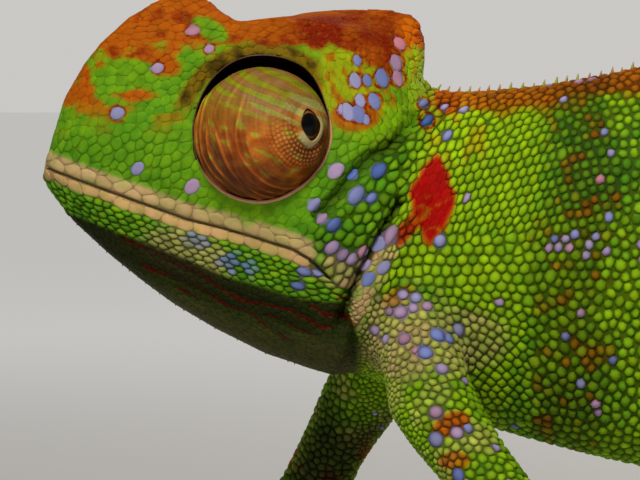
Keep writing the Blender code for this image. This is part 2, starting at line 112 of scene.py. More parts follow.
# Orange lines below the red patch, as (width, line)
FRINGE = ((0.5, ((15.8, -7.6), (14.6, -9.0), (13.4, -10.3))), (0.4, ((17.2, -9.0), (16.4, -10.4))))
THROAT_STREAKS = (
    ((-14.0, -10.6), (-9.0, -13.0), (-5.4, -14.7), (-4.3, -15.5), (-2.7, -16.1), (-1.2, -16.8),
     (0.6, -17.0), (2.6, -17.4), (3.9, -18.1), (5.9, -19.0), (6.7, -19.0)),
    ((-12.0, -13.2), (-5.6, -16.0), (-3.3, -17.3), (-1.0, -18.1), (-0.4, -18.7), (0.6, -19.5)),
    ((0.3, -18.1), (2.3, -18.9), (3.6, -19.5), (4.9, -20.0)),
    ((5.0, -17.0), (6.0, -17.7), (8.2, -18.0), (8.9, -19.0)),
    ((7.2, -15.9), (8.5, -16.5)),
    ((1.3, -19.9), (2.8, -21.0)),
    ((-8.4, -15.6), (-6.6, -16.8)),
)
# Pale and blue spots, as (back, rise, radius, hue): hue 0 is pink lilac, 0.5 pale lilac and 1 blue.
SPOTS = (
    (13.7, 9.0, 0.75, 0.0), (13.3, 7.1, 0.8, 0.3), (13.5, 5.5, 0.75, 0.3), (11.9, 5.5, 0.85, 0.55),
    (9.4, 7.3, 0.5, 0.5), (9.2, 5.3, 0.7, 0.6), (10.4, 5.3, 0.55, 0.6), (11.1, 3.3, 0.75, 0.8),
    (9.7, 3.3, 0.6, 0.6), (8.5, 2.2, 0.8, 0.5), (9.5, 2.0, 0.8, 0.6),
    (7.2, -3.6, 0.85, 0.4), (8.9, -4.0, 0.6, 0.8), (11.5, -3.6, 0.9, 1.0), (9.3, -6.0, 0.95, 0.8),
    (10.8, -6.3, 0.6, 0.8), (5.1, -6.9, 0.7, 0.6), (7.1, -8.9, 0.8, 0.7), (5.9, -8.3, 0.6, 0.5),
    (6.9, -11.2, 0.8, 0.35), (7.9, -11.9, 0.7, 0.3), (8.9, -12.3, 0.7, 0.3), (9.9, -11.6, 0.7, 0.3),
    (10.2, -12.9, 0.7, 0.3), (11.6, -10.8, 0.9, 0.5), (12.6, -10.0, 1.0, 0.3), (12.0, -13.2, 0.7, 0.5),
    (10.5, -14.3, 0.75, 0.6), (4.2, -13.6, 0.65, 0.75), (3.5, -15.0, 0.6, 0.75),
    (5.4, -13.7, 0.5, 0.7), (7.9, 2.4, 0.5, 0.4), (10.2, 1.5, 0.5, 0.55), (-7.0, 10.2, 0.6, 0.0),
    (-5.3, 8.4, 0.5, 0.1), (-10.5, 6.5, 0.6, 0.3), (-14.5, 2.0, 0.7, 0.5), (-7.0, -5.2, 0.8, 0.3),
    (-12.5, -3.5, 0.7, 0.4),
    (16.4, 1.3, 0.7, 1.0), (16.1, 3.0, 0.6, 0.6), (18.2, 2.6, 0.5, 0.3), (18.4, -0.2, 0.6, 0.7),
    (17.6, -10.6, 0.7, 0.6), (13.9, -15.9, 0.6, 0.4), (15.2, -16.2, 0.65, 0.5), (14.9, -17.2, 0.6, 0.4),
    (13.7, -17.6, 0.8, 0.3), (16.3, -17.0, 0.6, 0.35), (12.6, -17.6, 0.5, 0.3), (17.3, -19.7, 0.9, 0.65),
    (18.4, -20.1, 0.7, 0.65), (19.4, -19.4, 0.8, 0.6), (14.0, -20.1, 0.75, 0.3), (12.2, -20.3, 0.6, 0.3),
    (11.2, -19.5, 0.6, 0.3), (16.0, -21.3, 0.85, 0.9), (15.1, -21.1, 0.5, 0.0), (17.6, -22.8, 0.7, 0.5),
    (16.9, -26.7, 0.75, 0.3), (16.9, -29.3, 0.85, 0.6), (18.9, -28.6, 0.7, 0.3), (19.0, -32.6, 0.8, 0.65),
)
# The round spot high on the casque
ROUND_SPOT = SPOTS[0][:2]
# Oval patches, as (share, strength, middle, radii, turn in degrees, edge, soft width, only on the head)
PATCHES = (
    ("warm", 0.9, (9.2, 1.8), (2.5, 1.5), 0, 0.85, 0.3, False),
    ("warm", 1.0, (18.6, 3.3), (1.6, 1.5), 0, 0.7, 0.6, False),
    ("warm", 0.55, (13.4, -16.0), (1.7, 0.8), 30, 0.7, 0.6, False),
    ("warm", 0.95, (18.4, -27.8), (1.9, 1.1), 20, 0.8, 0.4, False),
    ("warm", 0.8, (18.6, -31.2), (1.5, 0.9), 10, 0.8, 0.4, False),
    ("lime", 0.55, (11.8, 1.0), (3.6, 2.4), 0, 0.8, 0.5, True),
    ("sand", 0.5, (-7.6, -12.0), (4.6, 2.4), -18, 0.7, 0.6, True),
    ("dark", 0.7, (14.3, 2.05), (0.55, 0.24), -28, 0.7, 0.5, True),
)


# ---------------------------------------------------------------- numbers over a surface

def eased(value):
    value = np.clip(value, 0.0, 1.0)
    return value * value * (3 - 2 * value)


def strongest(*layers):
    """The largest value at each point."""
    return functools.reduce(np.maximum, layers)


def within(distance, edge, soft):
    """1 up to the edge, falling to 0 over the soft width past it."""
    return 1 - eased((distance - edge) / soft)


def grain(points_mm, size, seed):
    """Smooth random values from -1 to 1 that change over about this size."""
    place = points_mm / size + 31.7 * seed
    cell = np.floor(place).astype(np.int64)
    share = eased(place - cell)
    total = np.zeros(len(points_mm))
    for corner in itertools.product((0, 1), repeat=3):
        c = cell + corner
        mixed = (c[:, 0] * 73856093) ^ (c[:, 1] * 19349663) ^ (c[:, 2] * 83492791)
        mixed = ((mixed ^ (mixed >> 13)) * 1274126177) & 0xFFFFFFFF
        value = ((mixed ^ (mixed >> 15)) & 0xFFFF) / 32767.5 - 1
        total += value * np.prod(np.where(corner, share, 1 - share), axis=1)
    return total


def nearest_on_line(back, rise, points):
    """The nearest places on a line of (back, rise) points, their distances and the heights above it."""
    here = np.stack([back, rise], axis=1)
    found = here.copy()
    nearest = np.full(len(back), 1e9)
    above = np.zeros(len(back))
    for a, b in zip(np.array(points[:-1]), np.array(points[1:])):
        run = b - a
        t = np.clip(((here - a) @ run) / (run @ run), 0, 1)
        foot = a + t[:, None] * run
        off = here - foot
        distance = np.hypot(off[:, 0], off[:, 1])
        closer = distance < nearest
        side = np.sign(run[0] * off[:, 1] - run[1] * off[:, 0])
        found = np.where(closer[:, None], foot, found)
        above = np.where(closer, distance * side, above)
        nearest = np.where(closer, distance, nearest)
    return found, nearest, above


def line_distance(back, rise, points):
    """Distance to a line of (back, rise) points, and the height above it."""
    return nearest_on_line(back, rise, points)[1:]


def turned(back, rise, centre, turn):
    """How far places lie along and across an axis through the centre, raised by turn degrees."""
    c, s = math.cos(math.radians(turn)), math.sin(math.radians(turn))
    x, y = back - centre[0], rise - centre[1]
    return x * c + y * s, y * c - x * s


def oval(back, rise, centre, radii, turn=0.0):
    """Distance from an oval's middle, 1 at its edge."""
    along, across = turned(back, rise, centre, turn)
    return np.hypot(along / radii[0], across / radii[1])


def patch_reach(back, rise):
    """0 in the middle of the red patch of the neck, 1 on its outline."""
    along, across = turned(back, rise, RED_PATCH, RED_PATCH_LEAN)
    along, across = np.abs(along) / RED_PATCH_RADII[0], np.abs(across) / RED_PATCH_RADII[1]
    return (along ** DIAMOND + across ** DIAMOND) ** (1 / DIAMOND)


def place_of(points):
    """Millimetres back from the eyes, above them and out from the body's middle."""
    away = (points - np.array(EYES)) / MM
    return away[:, 0], away[:, 2], np.abs(away[:, 1])


def at_line(back, points):
    return np.interp(back, [p[0] for p in points], [p[1] for p in points])


# ---------------------------------------------------------------- meshes

def mesh_of(name, verts, faces):
    mesh = bpy.data.meshes.new(name)
    mesh.from_pydata(verts, [], faces)
    return mesh


def show(name, mesh, material):
    """Puts a finished mesh in the scene as a piece that rides on the body."""
    piece = bpy.data.objects.new(name, mesh)
    bpy.context.scene.collection.objects.link(piece)
    mesh.materials.clear()
    mesh.materials.append(material)
    mesh.polygons.foreach_set("use_smooth", [True] * len(mesh.polygons))
    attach(piece, BODY)
    return piece


def read_all(items, key, width=1, kind=np.float32):
    """One value of every item, in rows of this width."""
    found = np.empty(len(items) * width, kind)
    items.foreach_get(key, found)
    return found.reshape(-1, width) if width > 1 else found


def coordinates(mesh):
    return read_all(mesh.vertices, "co", 3).astype(float)


def write_coordinates(mesh, co):
    mesh.vertices.foreach_set("co", co.astype(np.float32).ravel())
    mesh.update()


def normals(mesh):
    return read_all(mesh.vertex_normals, "vector", 3).astype(float)


def edges_of(mesh):
    return read_all(mesh.edges, "vertices", 2, np.int32)


def kd_tree(places):
    tree = KDTree(len(places))
    for k, place in enumerate(places):
        tree.insert(place, k)
    tree.balance()
    return tree


def ring_quads(levels, around, closed=False):
    """The faces between rings of points, of which the last joins the first when closed."""
    k = np.arange(around)
    after = (k + 1) % around
    rings = [(n * around, (n + 1) % levels * around) for n in range(levels if closed else levels - 1)]
    return np.concatenate([np.stack([low + k, low + after, high + after, high + k], 1)
                           for low, high in rings])


def neighbour_mean(values, edges, counts):
    total = np.empty_like(values)
    for k in range(values.shape[1]):
        total[:, k] = (np.bincount(edges[:, 0], values[edges[:, 1], k], len(values))
                       + np.bincount(edges[:, 1], values[edges[:, 0], k], len(values)))
    return total / counts[:, None]


# How far the second of each two passes pushes back
PUSH_BACK = 1.03


def relax(values, edges, weight, times, keep_size=True):
    """Evens values out over a mesh. Every second pass pushes back, so that a shape keeps its size."""
    counts = np.maximum(1, np.bincount(edges.ravel(), minlength=len(values)))
    for _ in range(times):
        values = values + weight[:, None] * (neighbour_mean(values, edges, counts) - values)
        if keep_size:
            values = values - PUSH_BACK * weight[:, None] * (neighbour_mean(values, edges, counts) - values)
    return values


# How an attribute with this many numbers at each point is stored
ATTRIBUTE_KINDS = {1: ("FLOAT", "value"), 3: ("FLOAT_VECTOR", "vector"), 4: ("FLOAT_COLOR", "color")}


def set_attribute(mesh, name, values):
    kind, key = ATTRIBUTE_KINDS[1 if values.ndim == 1 else values.shape[1]]
    found = mesh.attributes.new(name, kind, "POINT")
    found.data.foreach_set(key, np.ascontiguousarray(values, np.float32).ravel())


# ---------------------------------------------------------------- shader maths

class Wire:
    """One output socket. Arithmetic on it adds Math nodes."""

    def __init__(self, tree, socket):
        self.tree, self.socket = tree, socket

    def maths(self, operation, *values):
        return node(self.tree, "ShaderNodeMath", {"operation": operation}, dict(enumerate(values)))

    def __add__(self, other):
        return self.maths("ADD", self, other)

    def __radd__(self, other):
        return self.maths("ADD", other, self)

    def __sub__(self, other):
        return self.maths("SUBTRACT", self, other)

    def __rsub__(self, other):
        return self.maths("SUBTRACT", other, self)

    def __mul__(self, other):
        return self.maths("MULTIPLY", self, other)

    def __rmul__(self, other):
        return self.maths("MULTIPLY", other, self)

    def clamped(self):
        return self.maths("MINIMUM", self.maths("MAXIMUM", self, 0.0), 1.0)

    def between(self, low, high):
        """0 below low, 1 above high, eased between."""
        return node(self.tree, "ShaderNodeMapRange", {"interpolation_type": "SMOOTHSTEP"},
                    {"Value": self, "From Min": low, "From Max": high})


def node(tree, kind, settings, values, output=0):
    """Adds a node: first its settings, then the values or wires of its sockets."""
    made = tree.nodes.new(kind)
    for key, value in settings.items():
        setattr(made, key, value)
    for key, value in values.items():
        if isinstance(value, Wire):
            tree.links.new(value.socket, made.inputs[key])
        else:
            made.inputs[key].default_value = value
    return Wire(tree, made.outputs[output])


def rgba(colour):
    return (*colour[:3], 1.0)


def blend(tree, share, first, second, way="MIX"):
    """Colour that goes from first to second as share goes from 0 to 1."""
    values = {0: share}
    for key, colour in ((6, first), (7, second)):
        values[key] = colour if isinstance(colour, Wire) else rgba(colour)
    return node(tree, "ShaderNodeMix", {"data_type": "RGBA", "blend_type": way}, values, output=2)


def channels(tree, name):
    """The four numbers of a colour attribute."""
    found = tree.nodes.new("ShaderNodeAttribute")
    found.attribute_name = name
    parts = tree.nodes.new("ShaderNodeSeparateColor")
    tree.links.new(found.outputs["Color"], parts.inputs[0])
    return [Wire(tree, parts.outputs[k]) for k in range(3)] + [Wire(tree, found.outputs["Alpha"])]


def number(tree, name):
    return node(tree, "ShaderNodeAttribute", {"attribute_name": name}, {}, output=2)


def noise(tree, scale, detail):
    """Cloudy values that are fixed to the object, in its own coordinates."""
    where = node(tree, "ShaderNodeTexCoord", {}, {}, "Object")
    return node(tree, "ShaderNodeTexNoise", {}, {"Vector": where, "Scale": scale, "Detail": detail})


def bumps(tree, height, strength, distance):
    return node(tree, "ShaderNodeBump", {}, {"Strength": strength, "Distance": distance, "Height": height})


def shaded(tree, colour, red, green, blue):
    """The colour, each channel times its own brightness."""
    shade = node(tree, "ShaderNodeCombineColor", {}, {0: red, 1: green, 2: blue})
    return blend(tree, 1.0, colour, shade, way="MULTIPLY")


def start_material(name):
    material = bpy.data.materials.new(name)
    material.use_nodes = True
    tree = material.node_tree
    return material, tree, tree.nodes["Principled BSDF"]


def plug(tree, shader, **links):
    """Wires or sets the shader's sockets: Base_Color stands for Base Color."""
    for key, value in links.items():
        socket = shader.inputs[key.replace("_", " ")]
        if isinstance(value, Wire):
            tree.links.new(value.socket, socket)
        else:
            socket.default_value = value


# ---------------------------------------------------------------- settings

class SkinSettings(PropertyGroup):
    voxel: FloatProperty(name="Grid", description="Size of the skin's mesh", default=0.00048,
                         unit="LENGTH")
    swell: FloatProperty(name="Swell", description="Growth of each solid that closes the gaps",
                         default=0.0003, unit="LENGTH")
    coat_depth: FloatProperty(name="Coat depth", description="How far the skin lies inside the coat",
                              default=0.00028, unit="LENGTH")
    kept: FloatProperty(name="Kept", description="Share of the faces left after thinning",
                        default=0.6, subtype="FACTOR")


class CoatSettings(PropertyGroup):
    seed: IntProperty(name="Seed", description="Changes where the scales fall", default=7)
    gap: FloatProperty(name="Gap", description="How much of the planned gaps between scales to leave",
                       default=1.0, subtype="FACTOR")
    relief: FloatProperty(name="Relief", description="Height of the scales against their width",
                          default=1.0, subtype="FACTOR")


def colour_property(label, words, default):
    return FloatVectorProperty(name=label, description=words, default=default, size=3, subtype="COLOR",
                               min=0, max=1)


COLOURS = {
    "green": ("Cheek and flank", (0.063, 0.206, 0.005)),
    "lime": ("Neck and shoulder", (0.218, 0.370, 0.003)),
    "sand": ("Lips and the pale part of the shoulder", (0.400, 0.265, 0.120)),
    "orange": ("Rim of the casque and patches", (0.330, 0.068, 0.0010)),
    "rust": ("Top of the casque", (0.165, 0.0085, 0.0004)),
    "red": ("Neck patch and throat streaks", (0.340, 0.0010, 0.0008)),
    # This colour is the throat's own olive and the deeper bands, and also painted shade: in the folds, the
    # mouth line, the socket walls, under the brow and on the limbs' inner sides.
    "dark": ("Throat and the deep folds", (0.0075, 0.0060, 0.0009)),
    "pink": ("Warmest of the pale spots", (0.420, 0.160, 0.200)),
    "lilac": ("Pale spots", (0.235, 0.230, 0.400)),
    "blue": ("Deepest of the spots", (0.050, 0.110, 0.340)),
    "lid_rust": ("Darker ground of the turrets", (0.250, 0.052, 0.003)),
    "lid_amber": ("Lighter ground of the turrets", (0.500, 0.165, 0.022)),
    "lid_olive": ("Upper part of the turrets", (0.300, 0.165, 0.014)),
    "lid_dull": ("Between the turrets' streaks", (0.27, 0.180, 0.110)),
    "lid_lime": ("Streaks of the turrets", (0.250, 0.285, 0.008)),
    # Painted shade: a deep umber for the underside of the turrets and the wall of the slit.
    "lid_brown": ("Underside of the turrets", (0.060, 0.009, 0.002)),
    "lid_cream": ("Edge of the lower lid", (0.44, 0.38, 0.18)),
    "iris": ("Darker threads of the iris", (0.10, 0.030, 0.006)),
    "iris_gold": ("Lighter threads of the iris", (0.30, 0.13, 0.03)),
    "iris_edge": ("Eyeball outside the iris", (0.020, 0.010, 0.006)),
    "pupil": ("Middle of the eye", (0.001, 0.001, 0.001)),
    "fold": ("Darker part of the lower lip of the socket", (0.46, 0.150, 0.050)),
    "fold_pink": ("Lighter part of the same lip", (0.60, 0.33, 0.19)),
    "fold_shadow": ("Lip of the socket under the brow", (0.055, 0.030, 0.006)),
    "horn": ("Darker part of the claws", (0.15, 0.10, 0.055)),
    "horn_pale": ("Lighter part of the claws", (0.42, 0.34, 0.22)),
}


class ColourSettings(PropertyGroup):
    __annotations__ = {name: colour_property(name.replace("_", " ").capitalize(), *told)
                       for name, told in COLOURS.items()}


class StageSettings(PropertyGroup):
    floor: colour_property("Floor", "Pale floor", (0.62, 0.61, 0.59))
    key: FloatProperty(name="Key light", description="Power of the main light", default=2.1,
                       unit="POWER")


# ---------------------------------------------------------------- markings

def markings(points, out_normal, region):
    """The animal's colours, and painted shade in its folds, hollows and throat, as shares from 0 to 1, at any
    points of skin or coat.

    Region holds the share of head, neck, trunk, tail, limb and foot at each point.
    """
    back, rise, out = place_of(points)
    mm = points / MM
    broad, middling, fine = grain(mm, 6.0, 1), grain(mm, 2.2, 2), grain(mm, 0.9, 3)
    level = grain(mm * (0.35, 1, 1), 0.75, 7)
    upright = grain(mm * (1, 1, 0.4), 0.55, 8)
    head, neck, trunk, tail = (region[name] for name in ("head", "neck", "trunk", "tail"))
    limb = np.clip(region["limb"] + region["foot"], 0, 1)
    fore = np.clip(head + neck, 0, 1)
    mouth_gap, above_mouth = line_distance(back, rise, MOUTH)
    crease_gap, behind_jaw = line_distance(back, rise, JAW_CREASE)
    groove_gap, _ = line_distance(back, rise, TEMPLE_GROOVE)
    below_throat_edge = at_line(back, THROAT_EDGE) - rise
    # The throat: its own olive, deepened by painted shade; lower down, painted bounce light makes it paler
    # and sandier.
    throat = eased(below_throat_edge / 0.8 + 0.5) * within(back, 9.0, 1.6) * (1 - limb)
    bounce_light_under_chin = eased((below_throat_edge - 2.2) / 3.0)

    def patch(centre, radii, edge, soft, turn=0):
        return within(oval(back, rise, centre, radii, turn), edge, soft)

    # Casque and crown
    crown = rise - at_line(back, CROWN_COLOUR) + 0.8 * level + 0.5 * fine
    crown = eased(crown / 1.1 + 0.5) * head
    rear_rim = eased((back - 13.8 + 0.6 * fine) / 1.2) * within(rise, 7.6, 1.6) * head
    snout = eased((-7.2 - back) / 1.5) * head * eased((rise + 1.0) / 5.0)
    warm = strongest(
        crown * (1 - 0.85 * rear_rim),
        0.75 * patch((10.6, 5.0), (3.9, 3.4), 0.75, 0.4) * eased(0.45 + 1.3 * upright),
        snout * eased(0.35 + 1.5 * middling + 1.1 * level))
    warm = warm * (1 - 0.95 * patch((-5.2, 10.4), (2.1, 1.0), 0.75, 0.4, -30))
    ember = eased((back - 1.0) / 4.0) * within(back, 12.3, 1.8) * within(rise, 11.4, 0.9) * crown
    # The brow: a crescent of painted shadow above the turret, in rust and deeper tones.
    brow = within(np.abs(np.hypot(back, rise) - 8.3), 0.45, 0.7) * eased((rise - 1.5) / 2)
    brow = brow * within(back, 5.0, 1.6) * head
    nape = patch(NAPE_PATCH, NAPE_RADII, 0.7, 0.6)
    flecks = patch((8.4, 4.8), (3.4, 4.4), 0.8, 0.4) * head

    # Lips, the pale shoulder and the beads behind the jaw
    lips = within(np.where(above_mouth > 0, mouth_gap, mouth_gap * 1.45), 1.35, 0.6) * head
    lips = lips * within(back, 4.6, 1.5) * (1 - 0.75 * patch((-1.4, -8.1), (1.0, 1.1), 0.6, 0.7))
    pale_shoulder = strongest(patch((12.4, -20.0), (5.2, 3.9), 0.75, 0.45, -12) * (1 - head),
                              0.75 * patch((19, -20.5), (5, 3), 0.8, 0.5))
    beads = within(crease_gap, 1.6, 1.4) * eased((-8.6 - rise) / 1.6) * eased((rise + 27) / 3.0)
    beads = beads * (behind_jaw > 0) * (1 - throat) * eased((out - 3) / 2)

    # Red patch on the side of the neck, with its frayed orange edge, and the streaks of the throat
    red_reach = patch_reach(back, rise) + 0.12 * fine + 0.06 * middling
    side_of_neck = eased((out - 3.0) / 1.5) * fore
    fringe = side_of_neck * strongest(*(within(line_distance(back, rise, line)[0], width, width)
                                        for width, line in FRINGE))
    slanted = np.stack([mm[:, 0] * 0.5 - mm[:, 2] * 0.87, mm[:, 1],
                        0.3 * (mm[:, 0] * 0.87 + mm[:, 2] * 0.5)], 1)
    fibre = within(np.abs(grain(slanted, 0.85, 9)), 0.05, 0.12) * within(rise, -7.0 + middling, 1.5)
    red = strongest(within(red_reach, 0.92, 0.10) * side_of_neck,
                    0.7 * fringe * eased(0.5 + 1.4 * fine)) * (1 - 0.8 * fibre)
    wavy = (back + 0.25 * middling, rise + 0.3 * middling)
    streaks = strongest(*(within(line_distance(*wavy, streak)[0], 0.06 + 0.10 * middling + 0.04 * fine, 0.12)
                          for streak in THROAT_STREAKS))
    streaks = streaks * within(back, 9.5, 0.8) * eased((out - 1.5) / 1.5) * (1 - limb)
    red = strongest(red, 0.92 * streaks)

    # Bars and the side stripe of the trunk, rings of the tail
    below_ridge = at_line(back, BACK_LINE) - rise
    bars = np.cos(2 * math.pi * (back - 31.0) / 19.0 + 0.5 * broad)
    bars = eased((bars + 0.2 * middling - 0.25) / 0.35) * trunk * eased((back - 22) / 6)
    bars = bars * within(below_ridge, 34.0, 7.0)
    clock = np.arctan2(rise - TAIL_COIL[1], back - TAIL_COIL[0])
    rings = eased((np.cos(clock * 9.0 + 0.4 * broad) - 0.1) / 0.3) * tail
    stripe = within(np.abs(rise - at_line(back, STRIPE_LINE) + 1.0 * middling), 1.3, 0.9) * trunk
    stripe = stripe * eased((grain(mm, 4.5, 5) + 0.30) / 0.25) * eased((back - 24) / 5)

    # Pale spots, those of the casque with a warm ring
    pale, ring = np.zeros(len(points)), np.zeros(len(points))
    hue = np.full(len(points), 0.45) + 0.35 * middling
    shown_side = eased((out - 2.0) / 1.0) * (back < 21)
    for spot_back, spot_rise, radius, spot_hue in SPOTS:
        gap = np.hypot(back - spot_back, rise - spot_rise) / radius
        near = (gap < 0.85) & (shown_side > 0.5)
        pale = np.where(near, 1.0, pale)
        hue = np.where(near, spot_hue, hue)
        if spot_rise > 0:
            ring = strongest(ring, within(np.abs(gap - 1.08), 0.10, 0.24) * shown_side)

    low_limb = limb * eased((18.5 - rise - 50) / 4.0)
    # Painted shade on the limbs' inner sides.
    shaded_inner_limb = eased(0.2 - out_normal[:, 1] * np.sign(points[:, 1] - EYES.y))
    shaded_inner_limb = 0.90 * limb * shaded_inner_limb * eased((out - 6) / 5)
    shares = {
        "warm": strongest(
            warm, 0.62 * brow, fringe, ring,
            0.42 * rear_rim * eased((rise - 3.5) / 3.0) * eased(0.6 + fine),
            0.40 * nape * eased(0.5 + 1.2 * fine),
            flecks * (0.24 + 0.60 * eased((upright - 0.02) / 0.35)),
            0.16 * lips * (above_mouth < 0),
            within(red_reach, 1.02, 0.16) * side_of_neck,
            low_limb * eased((middling + 0.4 * fine - 0.32) / 0.2),
            np.clip(trunk + neck * (1 - head), 0, 1) * within(below_ridge, 1.4 + 0.9 * middling, 1.6) * 0.9,
            bars * 0.75 * eased((fine + 0.5 * middling - 0.1) / 0.5),
            rings * 0.8 * eased(0.4 + middling)),
        "depth": strongest(
            ember * eased(0.75 + 0.8 * middling), 0.55 * brow, ring * 0.9,
            0.75 * crown * eased((level + 0.4 * fine - 0.15) / 0.4),
            0.5 * flecks * eased((upright - 0.25) / 0.35)),
        "lime": strongest(
            0.22 + 0.25 * broad, neck * (0.85 + 0.2 * middling), 0.95 * nape, 0.88 * flecks,
            rear_rim * 0.9 * eased((rise + 1.5) / 4.0),
            eased((back - np.interp(rise, (-16, -7, 0), (9.6, 13.0, 15.5))) / 1.2) * 0.8 * fore,
            limb * (0.72 + 0.3 * middling), trunk * (0.45 + 0.45 * broad), 0.25 * tail),
        "sand": strongest(
            lips * (0.85 + 0.25 * fine), pale_shoulder * (0.62 + 0.3 * fine),
            0.42 * throat * bounce_light_under_chin, 0.35 * limb * eased(0.3 + middling),
            patch((8.2, -13.4), (2.6, 1.7), 0.8, 0.5, 10) * (0.6 + 0.4 * fine),
            beads * (0.62 + 0.5 * fine)),
        "dark": strongest(
            throat * (0.97 - 0.11 * bounce_light_under_chin), shaded_inner_limb, bars * 0.42, rings * 0.35,
            # Painted shade in the temple groove, the jaw crease and the mouth line.
            within(groove_gap, 0.35, 0.9) * 0.6 * fore * eased((out - 5) / 2),
            within(crease_gap, 0.12, 0.5) * 0.75 * eased((out - 4) / 2) * fore,
            within(mouth_gap, 0.06, 0.14) * 0.62 * head,
            brow * (0.25 + 0.5 * eased(0.3 + 1.8 * fine)),
            0.35 * red * eased(middling) * (1 - fibre)),
        "red": red, "pale": pale, "hue": hue, "stripe": stripe, "throat": throat, "bars": bars,
    }
    for share, strength, centre, radii, turn, edge, soft, on_head in PATCHES:
        layer = strength * patch(centre, radii, edge, soft, turn) * (head if on_head else 1.0)
        shares[share] = strongest(shares[share], layer)
    # Painted shade on the socket walls: deep rust, darkened.
    walls = in_socket(points, out_normal)
    for share, on_wall in (("warm", 1.0), ("depth", 1.0), ("dark", 0.55)):
        shares[share] = np.where(walls, on_wall, shares[share])
    return {name: np.clip(share, 0, 1) for name, share in shares.items()}


def write_markings(mesh, marks, vary, tip_and_painted_light):
    """Stores the shares where the materials read them."""
    set_attribute(mesh, "marks", np.stack([marks["warm"], marks["depth"], marks["lime"], marks["sand"]], 1))
    set_attribute(mesh, "spots", np.stack([marks["pale"], marks["hue"], marks["red"], marks["dark"]], 1))
    set_attribute(mesh, "vary", vary)
    set_attribute(mesh, "tip_and_painted_light", tip_and_painted_light)


# Share of the red that is left in the throat's deep shade
DEEP_BLOOD = 0.17


def marked_colour(tree, colours):
    """The colour of the hide, mixed from the shares that skin and scales carry."""
    warm, depth, lime, sand = channels(tree, "marks")
    pale, hue, red, dark = channels(tree, "spots")
    vary = number(tree, "vary")
    cloud, fibres = noise(tree, 900.0, 3.0), noise(tree, 2600.0, 2.0)
    colour = blend(tree, (lime + (cloud - 0.5) * 0.8).clamped(), colours.green, colours.lime)
    # Sand: the lips' and shoulder's own pale colour, and painted bounce light low on the throat.
    sand_and_bounce_light = (sand + (cloud - 0.5) * 0.4).clamped() * sand.between(0.02, 0.1)
    colour = blend(tree, sand_and_bounce_light, colour, colours.sand)
    ember = blend(tree, (depth + (fibres - 0.5) * 0.6).clamped(), colours.orange, colours.rust)
    colour = blend(tree, (warm + (fibres - 0.5) * 0.5 * warm).clamped(), colour, ember)
    # The deeper colour: partly the hide's own, partly painted shade in folds and hollows and on the throat.
    colour = blend(tree, dark, colour, colours.dark)
    blood = blend(tree, (fibres - 0.25).clamped() * 0.7, colours.red, colours.rust)
    blood = blend(tree, (dark * 1.3 - 0.2).clamped(), blood, [DEEP_BLOOD * part for part in colours.red])
    colour = blend(tree, red, colour, blood)
    cool = blend(tree, (hue * 2.0).clamped(), colours.pink, colours.lilac)
    cool = blend(tree, (hue * 2.0 - 1.0).clamped(), cool, colours.blue)
    bright = 0.48 + vary * 0.62 + cloud * 0.36
    return shaded(tree, blend(tree, pale, colour, cool), bright, bright, bright)


def coat_material(name, colours, roughness, foot):
    """Hide: the marked colour with a fine grain, with painted shade at the foot of each scale and in the
    gaps, and a painted highlight on its top.
    """
    material, tree, shader = start_material(name)
    edge = foot + number(tree, "tip_and_painted_light") * (1.12 - foot)
    colour = shaded(tree, marked_colour(tree, colours), edge, edge, edge)
    grit = noise(tree, 5200.0, 3.0)
    warm = channels(tree, "marks")[0]
    plug(tree, shader, Base_Color=colour, Roughness=roughness + warm * 0.14 + (grit - 0.5) * 0.2,
         Normal=bumps(tree, grit, 0.22, 0.00006), Specular_IOR_Level=0.05)
    return material


# ---------------------------------------------------------------- the skin

GROUPS = {
    "head": HEAD_NODES,
    "neck": ("neck",),
    "trunk": ("trunk",),
    "tail": ("tail",),
    "limb": ("upper_arm", "forearm", "thigh", "shank"),
    "foot": ("hand", "foot"),
}
# How far each region of the skin is evened out, in millimetres
EVENING = {"head": 0.0, "neck": 2.0, "trunk": 2.4, "tail": 1.3, "limb": 1.1, "foot": 0.35}
EVENING_PASSES = 36
HEAD_PASSES = 12
ARMPIT_PASSES = 70
SAME_PLACE = 1e-6


def joined_solids(nodes, name, swell=0.0):
    """The named solids in one mesh, each grown by swell."""
    shell = bmesh.new()
    for node_name in nodes:
        shell.from_mesh(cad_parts[node_name].data)
    bmesh.ops.remove_doubles(shell, verts=shell.verts, dist=SAME_PLACE)
    shell.normal_update()
    for vert in shell.verts:
        vert.co += vert.normal * swell
    mesh = bpy.data.meshes.new(name)
    shell.to_mesh(mesh)
    shell.free()
    return mesh


def evaluated(mesh, name, add_modifiers):
    """The mesh after the modifiers that add_modifiers puts on it."""
    holder = bpy.data.objects.new(name, mesh)
    bpy.context.scene.collection.objects.link(holder)
    add_modifiers(holder)
    graph = bpy.context.evaluated_depsgraph_get()
    made = bpy.data.meshes.new_from_object(holder.evaluated_get(graph))
    bpy.data.objects.remove(holder)
    return made


# How fast a region's share falls with the distance from its solids
REGION_BLEND = 0.0013


def region_shares(points):
    """How much each point belongs to each region, from its distance to that region's solids."""
    shares = {}
    for region, prefixes in GROUPS.items():
        tree = BVHTree.FromPolygons(*polygons_of([n for n in FLESH if n.startswith(prefixes)]))
        gap = np.array([tree.find_nearest(p)[3] for p in points])
        shares[region] = np.exp(-np.minimum(60, (gap / REGION_BLEND) ** 2)) + 1e-12
    total = sum(shares.values())
    return {region: share / total for region, share in shares.items()}


def polygons_of(nodes):
    verts, faces = [], []
    for name in nodes:
        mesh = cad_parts[name].data
        start = len(verts)
        verts += [tuple(v.co) for v in mesh.vertices]
        faces += [[start + k for k in p.vertices] for p in mesh.polygons]
    return verts, faces


# The solids' sockets, and how far from a turret's centre the skin is drawn in to close them
SOCKET_WALL = TURRET_RADIUS + 0.00055
SOCKET_EDGE = TURRET_RADIUS + 0.0024
